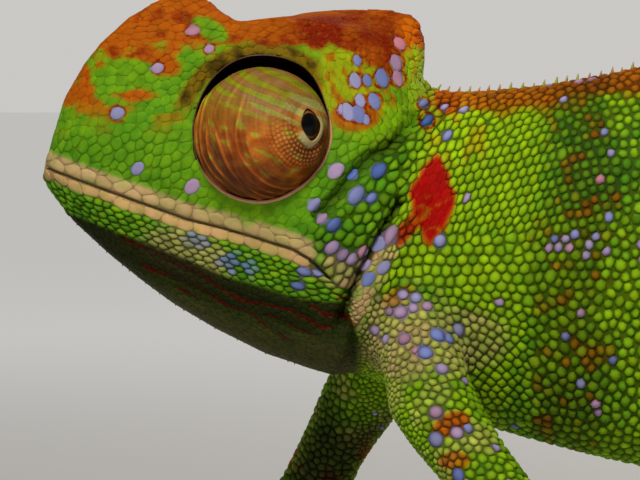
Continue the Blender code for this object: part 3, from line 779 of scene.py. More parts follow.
# The gap round a turret, and how much wider it is above it
SOCKET_GAP = 0.00014
SOCKET_SHADE = 0.00090


def socket_reach(away):
    """How far the rim of a socket stands from the turret's centre: open above, close elsewhere."""
    clock = np.degrees(np.arctan2(away[:, 2], away[:, 0]))
    above = eased((clock - 22) / 40) * eased((172 - clock) / 75)
    return TURRET_RADIUS + SOCKET_GAP + SOCKET_SHADE * above


def socket_wall(co):
    """Brings the skin up to the rim of each socket, and its walls in to the same reach."""
    for side, centre in TURRET.items():
        away = co - np.array(centre)
        distance = np.linalg.norm(away, axis=1)
        wanted = socket_reach(away)
        share = np.clip((distance - SOCKET_WALL) / (SOCKET_EDGE - SOCKET_WALL), 0, 1)
        near = (distance < SOCKET_EDGE) & (away[:, 1] * SIDES[side] > -0.0050)
        reach = np.where(near, wanted + share * (SOCKET_EDGE - wanted), distance)
        co = co + away * (reach / distance - 1)[:, None]
    return co


def clear_of_turrets(co):
    """Keeps the scales round a socket from hanging into it."""
    for centre in TURRET.values():
        away = co - np.array(centre)
        distance = np.linalg.norm(away, axis=1)
        push = np.maximum(0, socket_reach(away) + 0.00003 - distance)
        co = co + away / distance[:, None] * push[:, None]
    return co


def sculpt(co, normal, region):
    """Folds and lips, as moves along the normal in millimetres."""
    back, rise, _ = place_of(co)
    side_on = eased((np.abs(normal[:, 1]) - 0.2) / 0.3)
    flank = np.clip(region["head"] + region["neck"], 0, 1) * side_on
    # Each row: the line, where it shows, and the (height, distance above the line, half width, soft
    # width) of its cut and folds. The cut has no distance, so it follows the line itself.
    folds = (
        (MOUTH, region["head"], ((-0.29, None, 0.03, 0.20), (0.14, 0.75, 0.35, 0.6))),
        (JAW_CREASE, flank, ((-0.95, None, 0.02, 0.95), (0.45, 1.7, 0.4, 1.3), (0.25, -1.8, 0.4, 1.3))),
        (TEMPLE_GROOVE, flank, ((-0.60, None, 0.05, 1.0), (0.25, 1.2, 0.4, 0.8))),
    )
    move = np.zeros(len(co))
    for line, where, shapes in folds:
        gap, above = line_distance(back, rise, line)
        for height, distance, half, soft in shapes:
            from_fold = gap if distance is None else np.abs(above - distance)
            move += height * within(from_fold, half, soft) * where
    pleat = strongest(*(within(line_distance(back, rise, streak)[0], 0.1, 0.55) for streak in THROAT_STREAKS))
    move -= 0.20 * pleat * within(back, 9.5, 1.0) * side_on
    return co + normal * (move * MM)[:, None]


def beside_mouth_line(co, reach):
    """Points this near the line of the mouth, on the sides of the head."""
    back, rise, out = place_of(co)
    return (line_distance(back, rise, MOUTH)[0] < reach) & (back < 7.5) & (out > 1.0)


def refine_beside_lines(mesh):
    """Splits the faces beside the mouth and the creases, so that these can be cut sharply."""
    back, rise, out = place_of(coordinates(mesh))
    beside = beside_mouth_line(coordinates(mesh), 0.85)
    for line in (JAW_CREASE, TEMPLE_GROOVE):
        beside |= (line_distance(back, rise, line)[0] < 1.3) & (out > 1.0)
    fine = bmesh.new()
    fine.from_mesh(mesh)
    edges = [e for e in fine.edges if beside[e.verts[0].index] and beside[e.verts[1].index]]
    bmesh.ops.subdivide_edges(fine, edges=edges, cuts=2, use_grid_fill=True)
    fine.to_mesh(mesh)
    fine.free()
    co = coordinates(mesh)
    write_coordinates(mesh, relax(co, edges_of(mesh), 0.5 * beside_mouth_line(co, 1.0), 4))
    return region_shares(coordinates(mesh))


class Hide:
    """The finished skin, with what the scales need to know about it."""

    def __init__(self, mesh):
        self.mesh = mesh
        self.co = coordinates(mesh)
        self.normal = normals(mesh)
        self.tree = BVHTree.FromPolygons(self.co.tolist(), [list(p.vertices) for p in mesh.polygons])
        self.nearest = kd_tree(self.co)
        self.region = region_shares(self.co)

    def region_at(self, vert):
        return {name: share[vert] for name, share in self.region.items()}

    def plan(self, points, vert):
        """The plan of the coat at points that lie by these vertices."""
        return Plan(points, self.normal[vert], self.region_at(vert))

    def drape(self, points):
        """The nearest places on the skin, and which way the skin faces there."""
        found = [self.tree.find_nearest(p)[:2] for p in points]
        return np.array([place for place, _ in found]), np.array([facing for _, facing in found])

    def settle(self, points):
        """The nearest places on the skin, and the skin's vertex next to each."""
        found = np.array([self.tree.find_nearest(p)[0] for p in points]).reshape(-1, 3)
        return found, np.array([self.nearest.find(p)[1] for p in found], int)

    def under_scales(self):
        """How bright the skin is between the scales, which carries painted shade in the gaps and on the
        socket walls, and how much sand the pale shoulder adds.
        """
        back, rise, _ = place_of(self.co)
        shoulder = within(oval(back, rise, (13.5, -20), (6, 5)), 0.7, 0.4) * (1 - self.region["head"])
        tip_and_painted_light = 1 - 0.85 * edge_strength(Plan(self.co, self.normal, self.region).height)
        tip_and_painted_light = np.where(in_socket(self.co, self.normal), 0, np.maximum(tip_and_painted_light, 0.45 * shoulder))
        return tip_and_painted_light, 0.55 * shoulder


# Room for the scales under the feet
SKIN_OFF_FLOOR = 0.00015


def make_skin(skin_settings):
    def remesh(holder):
        grid = holder.modifiers.new("Remesh", "REMESH")
        grid.mode, grid.voxel_size = "VOXEL", skin_settings.voxel

    mesh = evaluated(joined_solids(FLESH, "flesh", skin_settings.swell), "flesh", remesh)
    edges = edges_of(mesh)
    co = coordinates(mesh)
    region = region_shares(co)
    spread = sum(region[name] * EVENING[name] for name in EVENING) * MM
    weight = np.clip((spread / skin_settings.voxel) ** 2 * 2 / EVENING_PASSES, 0, 0.9)
    co = relax(co, edges, weight, EVENING_PASSES, keep_size=False)
    co = relax(co, edges, 0.55 * region["head"], HEAD_PASSES)
    back, rise, _ = place_of(co)
    armpit = within(oval(back, rise, (12.5, -20.0), (6.5, 6.5)), 0.7, 0.5) * (1 - region["head"])
    co = relax(co, edges, 0.9 * armpit, ARMPIT_PASSES, keep_size=False)
    write_coordinates(mesh, co)
    back, rise, _ = place_of(co)
    crown = region["head"] * eased((rise - 5.0) / 3.0)
    throat = eased(at_line(back, THROAT_EDGE) - rise) * within(back, 9.0, 1.6)
    thin_coat = np.clip(0.45 * region["foot"] + 0.8 * crown + 0.85 * throat, 0, 1)
    depth = skin_settings.swell + skin_settings.coat_depth * (1 - thin_coat)
    co = co - normals(mesh) * depth[:, None]
    co = socket_wall(co)
    co = relax(co, edges, np.full(len(co), 0.25), 2)
    write_coordinates(mesh, co)
    region = refine_beside_lines(mesh)
    co = sculpt(coordinates(mesh), normals(mesh), region)
    co[:, 2] = np.maximum(co[:, 2], SKIN_OFF_FLOOR)
    write_coordinates(mesh, co)
    return Hide(thinned(mesh, region, skin_settings.kept))


# Steps in which the thinning of the skin sets in, and how strongly it follows them
THINNING_STEPS = 8
THINNING_WEIGHT = 4.0


def thinned(mesh, region, kept):
    """Fewer, larger faces where the skin is plain: the head, neck and feet keep theirs."""
    plain = np.clip(region["trunk"] + region["tail"] + region["limb"], 0, 1)

    def decimate(holder):
        group = holder.vertex_groups.new(name="plain")
        for step in range(1, THINNING_STEPS + 1):
            near = np.nonzero(np.round(plain * THINNING_STEPS) == step)[0]
            group.add(near.tolist(), step / THINNING_STEPS, "REPLACE")
        fewer = holder.modifiers.new("Decimate", "DECIMATE")
        fewer.ratio, fewer.vertex_group, fewer.vertex_group_factor = kept, "plain", THINNING_WEIGHT

    return evaluated(mesh, "skin", decimate)


def unwrap(piece):
    """Gives the piece its bake map, cut where its own surface turns."""
    layer = piece.data.uv_layers.new(name="OFBake")
    piece.data.uv_layers.active = layer
    bpy.ops.object.select_all(action="DESELECT")
    piece.select_set(True)
    bpy.context.view_layer.objects.active = piece
    bpy.ops.object.mode_set(mode="EDIT")
    bpy.ops.mesh.select_all(action="SELECT")
    bpy.ops.uv.smart_project(angle_limit=math.radians(66), island_margin=0.002)
    bpy.ops.object.mode_set(mode="OBJECT")


def vertex_uv(mesh):
    """One place on the bake map for each vertex."""
    found = np.zeros((len(mesh.vertices), 2))
    corner = read_all(mesh.loops, "vertex_index", kind=np.int32)
    found[corner] = read_all(mesh.uv_layers["OFBake"].uv, "vector", 2)
    return found


# ---------------------------------------------------------------- where the scales lie

HALF_MOUTH = 0.00012
# How much smaller the scales are by the edge of the shoulder and behind the jaw, and how much flatter
SMALLER = 0.42
FLATTER = 0.30


def fine_share(back, rise):
    """How much smaller the scales get toward the front edge of the shoulder and the arm."""
    return within(back - np.interp(rise, (-40, -26, -18), (21, 12.5, 9.5)), 0.6, 3.2)


class Plan:
    """What the coat does at a set of points: size, stretch, lie, height and finish of its scales.

    Each kind is (width_mm, stretch, lie in degrees above level, height_mm, share of the width left bare).
    """

    KINDS = {
        "trunk": (1.02, 1.1, 78, 0.27, 0.05),
        "tail": (0.80, 1.1, 20, 0.18, 0.05),
        "limb": (0.86, 1.1, 65, 0.24, 0.06),
        "foot": (0.62, 1.1, 40, 0.13, 0.06),
        "neck": (0.94, 1.75, 60, 0.27, 0.02),
        "flank": (1.12, 1.10, 60, 0.25, 0.06),
        "shoulder": (0.92, 1.1, 0, 0.27, 0.06),
        "throat": (0.56, 1.5, -22, 0.045, 0.02),
        "head": (1.00, 1.25, 20, 0.05, 0.01),
        "cheek": (1.06, 1.45, 44, 0.26, 0.05),
        "jaw": (0.80, 1.95, -14, 0.22, 0.05),
        "lip": (1.35, 1.6, -18, 0.07, 0.01),
        "temple": (0.95, 1.75, 100, 0.06, 0.02),
        "crown": (0.86, 1.9, 4, 0.045, 0.0),
        "brow": (0.85, 1.5, 0, 0.09, 0.02),
    }

    def __init__(self, points, normal, region):
        back, rise, _ = place_of(points)
        self.normal = normal
        values = np.zeros((len(points), 5))
        total = np.zeros(len(points))
        for kind in GROUPS:
            values += region[kind][:, None] * self.KINDS[kind]
            total += region[kind]
        values /= total[:, None]
        width, stretch, lie, height, bare_share = values.T
        away_tail = np.hypot(back - TAIL_COIL[0], rise - TAIL_COIL[1])
        width -= region["tail"] * np.clip((46 - away_tail) / 46, 0, 1) * 0.38
        head = region["head"] > 0.5
        fore = np.clip(region["head"] + region["neck"], 0, 1) > 0.5
        mouth_gap, above_mouth = line_distance(back, rise, MOUTH)
        crease_gap, above_crease = line_distance(back, rise, JAW_CREASE)
        turret_gap = np.hypot(back, rise)
        above_crown = rise > at_line(back, CROWN_EDGE)
        off_spots = np.array([np.hypot(back - b, rise - r) for b, r, _, _ in SPOTS])
        radii = np.array([radius for _, _, radius, _ in SPOTS])[:, None]

        def put(kind, where):
            values[where] = self.KINDS[kind]
            return where

        shoulder = (rise < -15.2) & (rise > -44) & (back > 9.5) & (back < 30) & ~head
        put("shoulder", shoulder & (region["trunk"] < 0.6))
        lie[shoulder] = np.degrees(np.arctan2(rise - SHOULDER[1], back - SHOULDER[0]))[shoulder] - 90
        put("neck", fore & (back > 12) & (rise > -15.2) & (back < 34) & (region["head"] < 0.8))
        put("flank", fore & (back > 13.5) & (rise > -15.2) & (rise < -10.2) & (region["head"] < 0.5))
        put("jaw", fore & (above_mouth < 0) & (rise < -3) & (back < 9.5))
        put("throat", fore & (rise < at_line(back, THROAT_EDGE)) & (back < 9.8))
        put("cheek", head & (above_mouth > 0) & (back > 4) & (rise < 0) & (above_crease < 0.3))
        flat = put("cheek", head & (above_mouth > 0) & (back < 5) & (rise < 0))
        put("temple", head & (back > 3.5) & (rise > 0) & (turret_gap > 6))
        put("crown", head & above_crown)
        brow = put("brow", head & (np.abs(turret_gap - 8.6) < 0.75) & (rise > 2.0) & (back < 5))
        put("lip", head & (mouth_gap < np.where(above_mouth > 0, 1.6, 1.0)) & (back < 4.6))
        near_spot = head & (rise > 0) & (back > 3.5) & ((off_spots - radii).min(axis=0) < 0.7)
        put("temple", near_spot)
        round_spot = np.hypot(back - ROUND_SPOT[0], rise - ROUND_SPOT[1]) < 1.5
        stretch[near_spot] = np.where(round_spot, 1.1, 1.5)[near_spot]
        on_spot = head & ((off_spots / radii).min(axis=0) < 0.5)
        height[on_spot] = np.maximum(height, 0.10)[on_spot]
        stretch[head & (back > 14.9) & (rise > 0) & ~above_crown] = 1.15
        lie[brow] = np.degrees(np.arctan2(rise, back))[brow] - 90
        height[flat] = 0.09
        calm = within(np.hypot(back - 2.0, rise), 8.2, 3.6) * head
        height *= 1 - 0.65 * calm * (above_mouth > 0)
        red = (patch_reach(back, rise) < 1.05) & fore
        height[red] = 0.03
        bare_share[red] = 0.0
        behind_jaw = fore & (above_crease > 0) & (rise < -8)
        small = np.maximum(fine_share(back, rise) * shoulder, within(crease_gap, 1.5, 1.5) * behind_jaw)
        self.gap = bare_share
        self.width = width * (1 - SMALLER * small) * MM
        self.stretch = stretch
        self.height = height * (1 - FLATTER * small) * MM
        lie = np.radians(lie)
        along = np.stack([np.cos(lie), np.zeros(len(lie)), np.sin(lie)], 1)
        along -= np.einsum("ij,ij->i", along, normal)[:, None] * normal
        length = np.linalg.norm(along, axis=1)
        spare = np.cross(normal, (0.0, 1.0, 0.0)) + 1e-6
        along = np.where(length[:, None] < 0.15, spare, along)
        self.along = along / np.linalg.norm(along, axis=1)[:, None]
        self.across = np.cross(normal, self.along)


def in_socket(points, normal):
    """True on the walls round the turrets."""
    found = np.zeros(len(points), bool)
    for centre in TURRET.values():
        away = points - np.array(centre)
        distance = np.linalg.norm(away, axis=1)
        facing = np.einsum("ij,ij->i", away, normal) / distance
        found |= (distance < TURRET_RADIUS + 0.0017) & (facing < -0.12)
    return found


def under_rim(points):
    """True where a scale would be squeezed between a turret and the rim of its socket."""
    found = np.zeros(len(points), bool)
    for centre in TURRET.values():
        away = points - np.array(centre)
        found |= np.linalg.norm(away, axis=1) < socket_reach(away) + 0.00012
    return found


def bare(hide, points, vert):
    """Places with no scale: the line of the mouth and the eye sockets."""
    back, rise, _ = place_of(points)
    on_head = hide.region["head"][vert] > 0.5
    in_mouth = (line_distance(back, rise, MOUTH)[0] < 0.24) & on_head & (back < 7)
    return in_socket(points, hide.normal[vert]) | under_rim(points) | in_mouth


# Distance between the rows of a six-sided lattice, in widths
HEX_ROW = 0.866


def rows(width, stretch, lie, low, high):
    """A six-sided lattice of (back, rise) places, its rows along the lie."""
    c, s = math.cos(math.radians(lie)), math.sin(math.radians(lie))
    reach = max(high[0] - low[0], high[1] - low[1])
    step, row_step = width * math.sqrt(stretch), width * HEX_ROW / math.sqrt(stretch)
    along = np.arange(-reach, reach, step)
    middle_place = ((low[0] + high[0]) / 2, (low[1] + high[1]) / 2)
    found = []
    for k, across in enumerate(np.arange(-reach, reach, row_step)):
        shifted = along + (k % 2) * step / 2
        found.append(np.stack([middle_place[0] + shifted * c - across * s,
                               middle_place[1] + shifted * s + across * c], 1))
    found = np.concatenate(found)
    inside = np.all((found > low) & (found < high), axis=1)
    return found[inside]


def arcs(width, centre, radii, angles):
    """Rows on arcs about a centre, as (back, rise) places."""
    found = []
    for k, radius in enumerate(np.arange(radii[0], radii[1], width * 0.88)):
        steps = np.arange(math.radians(angles[0]), math.radians(angles[1]), width / radius)
        turn = steps + (k % 2) * width / radius / 2
        found.append(np.stack([centre[0] + radius * np.cos(turn), centre[1] + radius * np.sin(turn)], 1))
    return np.concatenate(found)


def alongside(line, width, gaps, stretch):
    """Rows that run beside a line of (back, rise) points, at these gaps from it."""
    points = np.array(line)
    lengths = np.concatenate([[0], np.cumsum(np.hypot(*np.diff(points, axis=0).T))])
    found = []
    for k, gap in enumerate(gaps):
        place = np.arange((k % 2) * width / 2, lengths[-1], width * math.sqrt(stretch))
        here, ahead, before = (np.stack([np.interp(place + shift, lengths, points[:, n]) for n in (0, 1)], 1)
                               for shift in (0, 0.5, -0.5))
        run = (ahead - before) / np.linalg.norm(ahead - before, axis=1)[:, None]
        found.append(here + gap * np.stack([-run[:, 1], run[:, 0]], 1))
    return np.concatenate(found)


def ordered_seeds(hide):
    """Scales whose rows show: planned on the side of the head, then put on both sides of the skin."""
    kinds = Plan.KINDS
    spots = np.array([(b, r) for b, r, _, _ in SPOTS])
    radii = np.array([radius for _, _, radius, _ in SPOTS])
    sizes = [2.1 * radii]
    places = [spots]
    shake = np.random.default_rng(11)

    def off(p, line):
        return line_distance(p[:, 0], p[:, 1], line)[0]

    def above(p, line):
        return line_distance(p[:, 0], p[:, 1], line)[1]

    def behind_crease(p):
        return above(p, JAW_CREASE) > 0.3

    def from_eyes(p):
        return np.hypot(p[:, 0], p[:, 1])

    def add(found, keep, width):
        found = found[keep(found)]
        found = found + shake.normal(0, 0.11 * width, found.shape)
        clear = np.array([(np.hypot(*(spots - p).T) - radii).min() for p in found]) > width * 0.30
        places.append(found[clear])
        sizes.append(np.full(clear.sum(), width))

    def add_rows(kind, low, high, keep):
        add(rows(*kinds[kind][:3], low, high), keep, kinds[kind][0])

    width, stretch = kinds["jaw"][:2]
    gaps = -np.arange(1.45, 7.5, width * HEX_ROW / math.sqrt(stretch))
    add(alongside(MOUTH, width, gaps, stretch),
        lambda p: (p[:, 1] > at_line(p[:, 0], THROAT_EDGE)) & (p[:, 0] < 8.6), width)
    width, stretch = kinds["lip"][:2]
    add(alongside(MOUTH, width, (0.70, -0.70), stretch), lambda p: p[:, 0] < 4.0, width * 0.85)
    add_rows("cheek", (3.0, -13.5), (13.5, -0.5),
             lambda p: (above(p, MOUTH) > 0.8) & ~behind_crease(p) & (above(p, TEMPLE_GROOVE) < 0.6)
             & (from_eyes(p) > 8.4))
    add_rows("neck", (9.0, -15.2), (34.0, 4.0),
             lambda p: behind_crease(p) & ((p[:, 0] < 13.5) | (p[:, 1] > -10.2))
             & ((off(p, JAW_CREASE) > 2.2) | (p[:, 1] > -8)))
    add_rows("flank", (13.5, -15.2), (34.0, -10.2), behind_crease)
    width = kinds["shoulder"][0]
    add(arcs(width, SHOULDER, (6.0, 19.2), (20, 190)), lambda p: behind_crease(p) & (p[:, 1] < -15.0)
        & (p[:, 0] < 27) & (fine_share(p[:, 0], p[:, 1]) < 0.25), width)
    add_rows("temple", (5.0, 0.6), (13.6, 6.6), lambda p: (from_eyes(p) > 8.0) & (p[:, 0] < 9.5))

    places, sizes = np.concatenate(places), np.concatenate(sizes)
    seeds, widths, spot = [], [], []
    for sign in SIDES.values():
        for k, (b, r) in enumerate(places):
            start = Vector((EYES.x + b * MM, EYES.y + sign * 0.05, EYES.z + r * MM))
            hit, normal, _, _ = hide.tree.ray_cast(start, Vector((0, -sign, 0)))
            if hit is not None and abs(normal.y) > 0.42:
                seeds.append(hit)
                widths.append(sizes[k] * MM)
                spot.append(k if k < len(SPOTS) else -1)
    return np.array(seeds), np.array(widths), np.array(spot)


def random_places(hide, count, generator):
    """Even random points over the whole skin."""
    mesh = hide.mesh
    mesh.calc_loop_triangles()
    corner = read_all(mesh.loop_triangles, "vertices", 3, np.int32)
    a, b, c = (hide.co[corner[:, k]] for k in range(3))
    area = np.linalg.norm(np.cross(b - a, c - a), axis=1)
    picked = generator.choice(len(area), count, p=area / area.sum())
    u, v = generator.random(count), generator.random(count)
    u, v = np.where(u + v > 1, 1 - u, u), np.where(u + v > 1, 1 - v, v)
    places = a[picked] + u[:, None] * (b - a)[picked] + v[:, None] * (c - a)[picked]
    return places, corner[picked, 0]


# How near two scales may start, in widths
CLOSEST = 0.78


def thin_out(places, widths, kept, kept_widths):
    """Indexes of the places that stay when none is too near another or a kept seed."""
    tree = kd_tree(places)
    dead = np.zeros(len(places), bool)
    for place, width in zip(kept, kept_widths):
        for _, k, _ in tree.find_range(place, width * 0.42 + 0.0003):
            dead[k] = True
    chosen = []
    for k in range(len(places)):
        if dead[k]:
            continue
        chosen.append(k)
        for _, other, _ in tree.find_range(places[k], widths[k] * CLOSEST):
            dead[other] = True
    return np.array(chosen)


NEIGHBOURS = 15


def neighbours_of(places):
    tree = kd_tree(places)
    found = np.empty((len(places), NEIGHBOURS), int)
    for k, place in enumerate(places):
        found[k] = [other for _, other, _ in tree.find_n(place, NEIGHBOURS + 1)][1:]
    return found


# An outline with nothing near it, in widths
OPEN = 9.0


def flat_offsets(plan, places, near):
    """Where each neighbour lies, in units of the scale's own length and width."""
    away = places[near] - places[:, None, :]
    root = np.sqrt(plan.stretch)
    x = np.einsum("ijk,ik->ij", away, plan.along) / (plan.width * root)[:, None]
    y = np.einsum("ijk,ik->ij", away, plan.across) / (plan.width / root)[:, None]
    facing = np.einsum("ijk,ik->ij", plan.normal[near], plan.normal)
    distance = np.linalg.norm(away, axis=2)
    far = (facing < 0.1) | (distance > 2.6 * plan.width[:, None])
    return np.where(far, OPEN, x), np.where(far, OPEN, y)


def relaxed(hide, places, widths, pinned, times):
    """Pushes crowded scales apart along the skin until their spacing is even."""
    for step in range(times):
        places, vert = hide.settle(places)
        plan = hide.plan(places, vert)
        plan.width = np.where(widths > 0, widths, plan.width)
        if step % 2 == 0:
            near = neighbours_of(places)
        x, y = flat_offsets(plan, places, near)
        share = 0.5 + 0.5 * plan.width[near] / plan.width[:, None]
        distance = np.hypot(x, y) + 1e-6
        push = np.clip(1.04 * share - distance, 0, 0.6) * 0.30 / distance
        root = np.sqrt(plan.stretch)
        dx = np.clip(-(push * x).sum(1), -0.25, 0.25) * plan.width * root * ~pinned
        dy = np.clip(-(push * y).sum(1), -0.25, 0.25) * plan.width / root * ~pinned
        places = places + dx[:, None] * plan.along + dy[:, None] * plan.across
    return places


# Radius of a coloured spot in its own widths, and the room a scale beside it needs in its own
SPOT_EDGE = 0.47
LEAST_ROOM = 0.24
# Random places that the loose scales are chosen from, and passes that even their spacing out
CANDIDATES = 260000
SPACING_PASSES = 8


class Coat:
    """Every scale's root, frame and outline."""

    def __init__(self, hide, coat_settings):
        self.hide = hide
        self.gap, self.relief = coat_settings.gap, coat_settings.relief
        self.generator = generator = np.random.default_rng(coat_settings.seed)
        ordered, ordered_width, spot = ordered_seeds(hide)
        loose, vert = random_places(hide, CANDIDATES, generator)
        back, rise, _ = place_of(loose)
        on_head = hide.region["head"][vert] > 0.5
        lips = (line_distance(back, rise, MOUTH)[0] < 1.25) & (back < 4.0) & on_head
        keep = ~bare(hide, loose, vert) & ~lips
        loose, vert = loose[keep], vert[keep]
        chosen = thin_out(loose, hide.plan(loose, vert).width, ordered, ordered_width)
        places = np.concatenate([ordered, loose[chosen]])
        spot = np.concatenate([spot, np.full(len(chosen), -1)])
        back, rise, _ = place_of(places)
        beside_mouth = (line_distance(back, rise, MOUTH)[0] < 1.3) & (back < 4.5)
        pinned = (spot >= 0) | (beside_mouth & (np.arange(len(places)) < len(ordered)))
        own = np.where(spot >= 0, np.concatenate([ordered_width, np.zeros(len(chosen))]), 0)
        places, vert = hide.settle(relaxed(hide, places, own, pinned, SPACING_PASSES))
        keep = ~bare(hide, places, vert)
        own = own[keep]
        self.put(places[keep], vert[keep], spot[keep])
        uneven = np.exp(generator.normal(0, 0.11, len(own)))
        large = (generator.random(len(own)) < 0.07) & (self.region["trunk"] > 0.5)
        self.plan.width = np.where(own > 0, own, self.plan.width * uneven * np.where(large, 1.35, 1.0))
        self.drop_squeezed()

    def put(self, places, vert, spot):
        """Takes these places for the scales' roots. Spot is the number of the spot that a scale makes."""
        self.places, self.vert, self.spot = places, vert, spot
        self.region = self.hide.region_at(vert)
        self.plan = self.hide.plan(places, vert)
        self.near = neighbours_of(places)

    def drop_squeezed(self):
        """Leaves out the scales that have too little room beside a spot."""
        x, y = flat_offsets(self.plan, self.places, self.near)
        room = np.hypot(x, y) - SPOT_EDGE * self.plan.width[self.near] / self.plan.width[:, None]
        keep = ~((self.spot[self.near] >= 0) & (room < LEAST_ROOM)).any(axis=1) | (self.spot >= 0)
        width = self.plan.width[keep]
        self.put(self.places[keep], self.vert[keep], self.spot[keep])
        self.plan.width = width

    def outlines(self, rows_chosen, sides):
        """For these scales, how far the edge is from the root in each direction, in unit widths."""
        plan = self.plan
        x, y = flat_offsets(plan, self.places, self.near)
        x, y = x[rows_chosen], y[rows_chosen]
        size = plan.width[rows_chosen]
        others = plan.width[self.near[rows_chosen]] / size[:, None]
        squared = x * x + y * y
        reach = (squared + 0.25 * (1 - others ** 2)) / 2
        is_spot = (self.spot[rows_chosen] >= 0)[:, None]
        beside_spot = self.spot[self.near[rows_chosen]] >= 0
        distance = np.sqrt(squared)
        to_spot = distance * np.maximum(distance - SPOT_EDGE * others, 0.1)
        reach = np.where(beside_spot & ~is_spot, to_spot, reach)
        reach = np.where(is_spot & ~beside_spot, OPEN, reach)
        turn = np.arange(sides) * 2 * math.pi / sides
        toward = x[:, :, None] * np.cos(turn) + y[:, :, None] * np.sin(turn)
        edge = np.where(toward > 0.05, reach[:, :, None] / np.maximum(toward, 0.05), OPEN).min(axis=1)
        most = np.where(is_spot, SPOT_EDGE, 0.80)
        edge = np.clip(edge, 0.16, most) * (1 - self.gap * plan.gap[rows_chosen])[:, None]
        for _ in range(2):
            edge = np.minimum(edge, 0.57 * (np.roll(edge, 1, 1) + np.roll(edge, -1, 1)))
        return np.minimum(edge, self.reach_to_mouth(rows_chosen, turn)), turn

    def reach_to_mouth(self, rows_chosen, turn):
        """How far each scale may go before it meets the line of the mouth."""
        plan, places = self.plan, self.places[rows_chosen]
        back, rise, _ = place_of(places)
        away = nearest_on_line(back, rise, MOUTH)[0] - np.stack([back, rise], 1)
        to_line = np.stack([away[:, 0], np.zeros(len(back)), away[:, 1]], 1) * MM
        gap = np.linalg.norm(to_line, axis=1) + 1e-9
        root = np.sqrt(plan.stretch[rows_chosen])
        width = plan.width[rows_chosen]
        x = np.einsum("ij,ij->i", to_line, plan.along[rows_chosen]) / (width * root)
        y = np.einsum("ij,ij->i", to_line, plan.across[rows_chosen]) / (width / root)
        share = np.maximum(0.15, 1 - HALF_MOUTH / gap)
        toward = x[:, None] * np.cos(turn) + y[:, None] * np.sin(turn)
        reach = ((x * x + y * y) * share)[:, None] / np.maximum(toward, 0.02)
        beside = (gap < 0.002) & (back < 7.0) & (self.region["head"][rows_chosen] > 0.3)
        return np.where(beside[:, None] & (toward > 0.02), np.maximum(reach, 0.1), OPEN)


# Rings of a scale from its sunken foot to its top, as (share of the radius, share of the height) of a
# domed scale, then of a flat one, whose edge stays level with its neighbours'
FINE_RINGS = ((1.02, -0.45, 1.08, -0.45), (0.98, 0.10, 1.01, 0.55), (0.82, 0.54, 0.95, 0.86),
              (0.46, 0.88, 0.46, 0.97))
PLAIN_RINGS = ((1.02, -0.45, 1.06, -0.45), (0.92, 0.34, 0.98, 0.50), (0.52, 0.86, 0.52, 0.90))
# Sides and rings of the scales near the camera and of the others
DETAIL = {"near": (12, FINE_RINGS), "far": (7, PLAIN_RINGS)}
FLAT_MM = 0.15
FOOT_DEPTH = 0.00006
PATCH_ON_BAKE_MAP = 0.0024
MOST_TRIANGLES = 190000


def edge_strength(height):
    """How strong the painted shade at the foot of a scale is: the flat ones hardly show theirs."""
    return np.clip(height / MM / 0.22, 0.12, 1.0)


def scale_faces(sides, levels):
    """Corners and sizes of one scale's faces: rings, a top of triangles and a closed foot."""
    k = np.arange(sides)
    last = (levels - 1) * sides
    quads = ring_quads(levels, sides)
    top = np.stack([last + k, last + (k + 1) % sides, np.full(sides, levels * sides)], 1)
    return (np.concatenate([quads.ravel(), top.ravel(), k[::-1]]),
            np.concatenate([np.full(len(quads), 4), np.full(sides, 3), [sides]]))


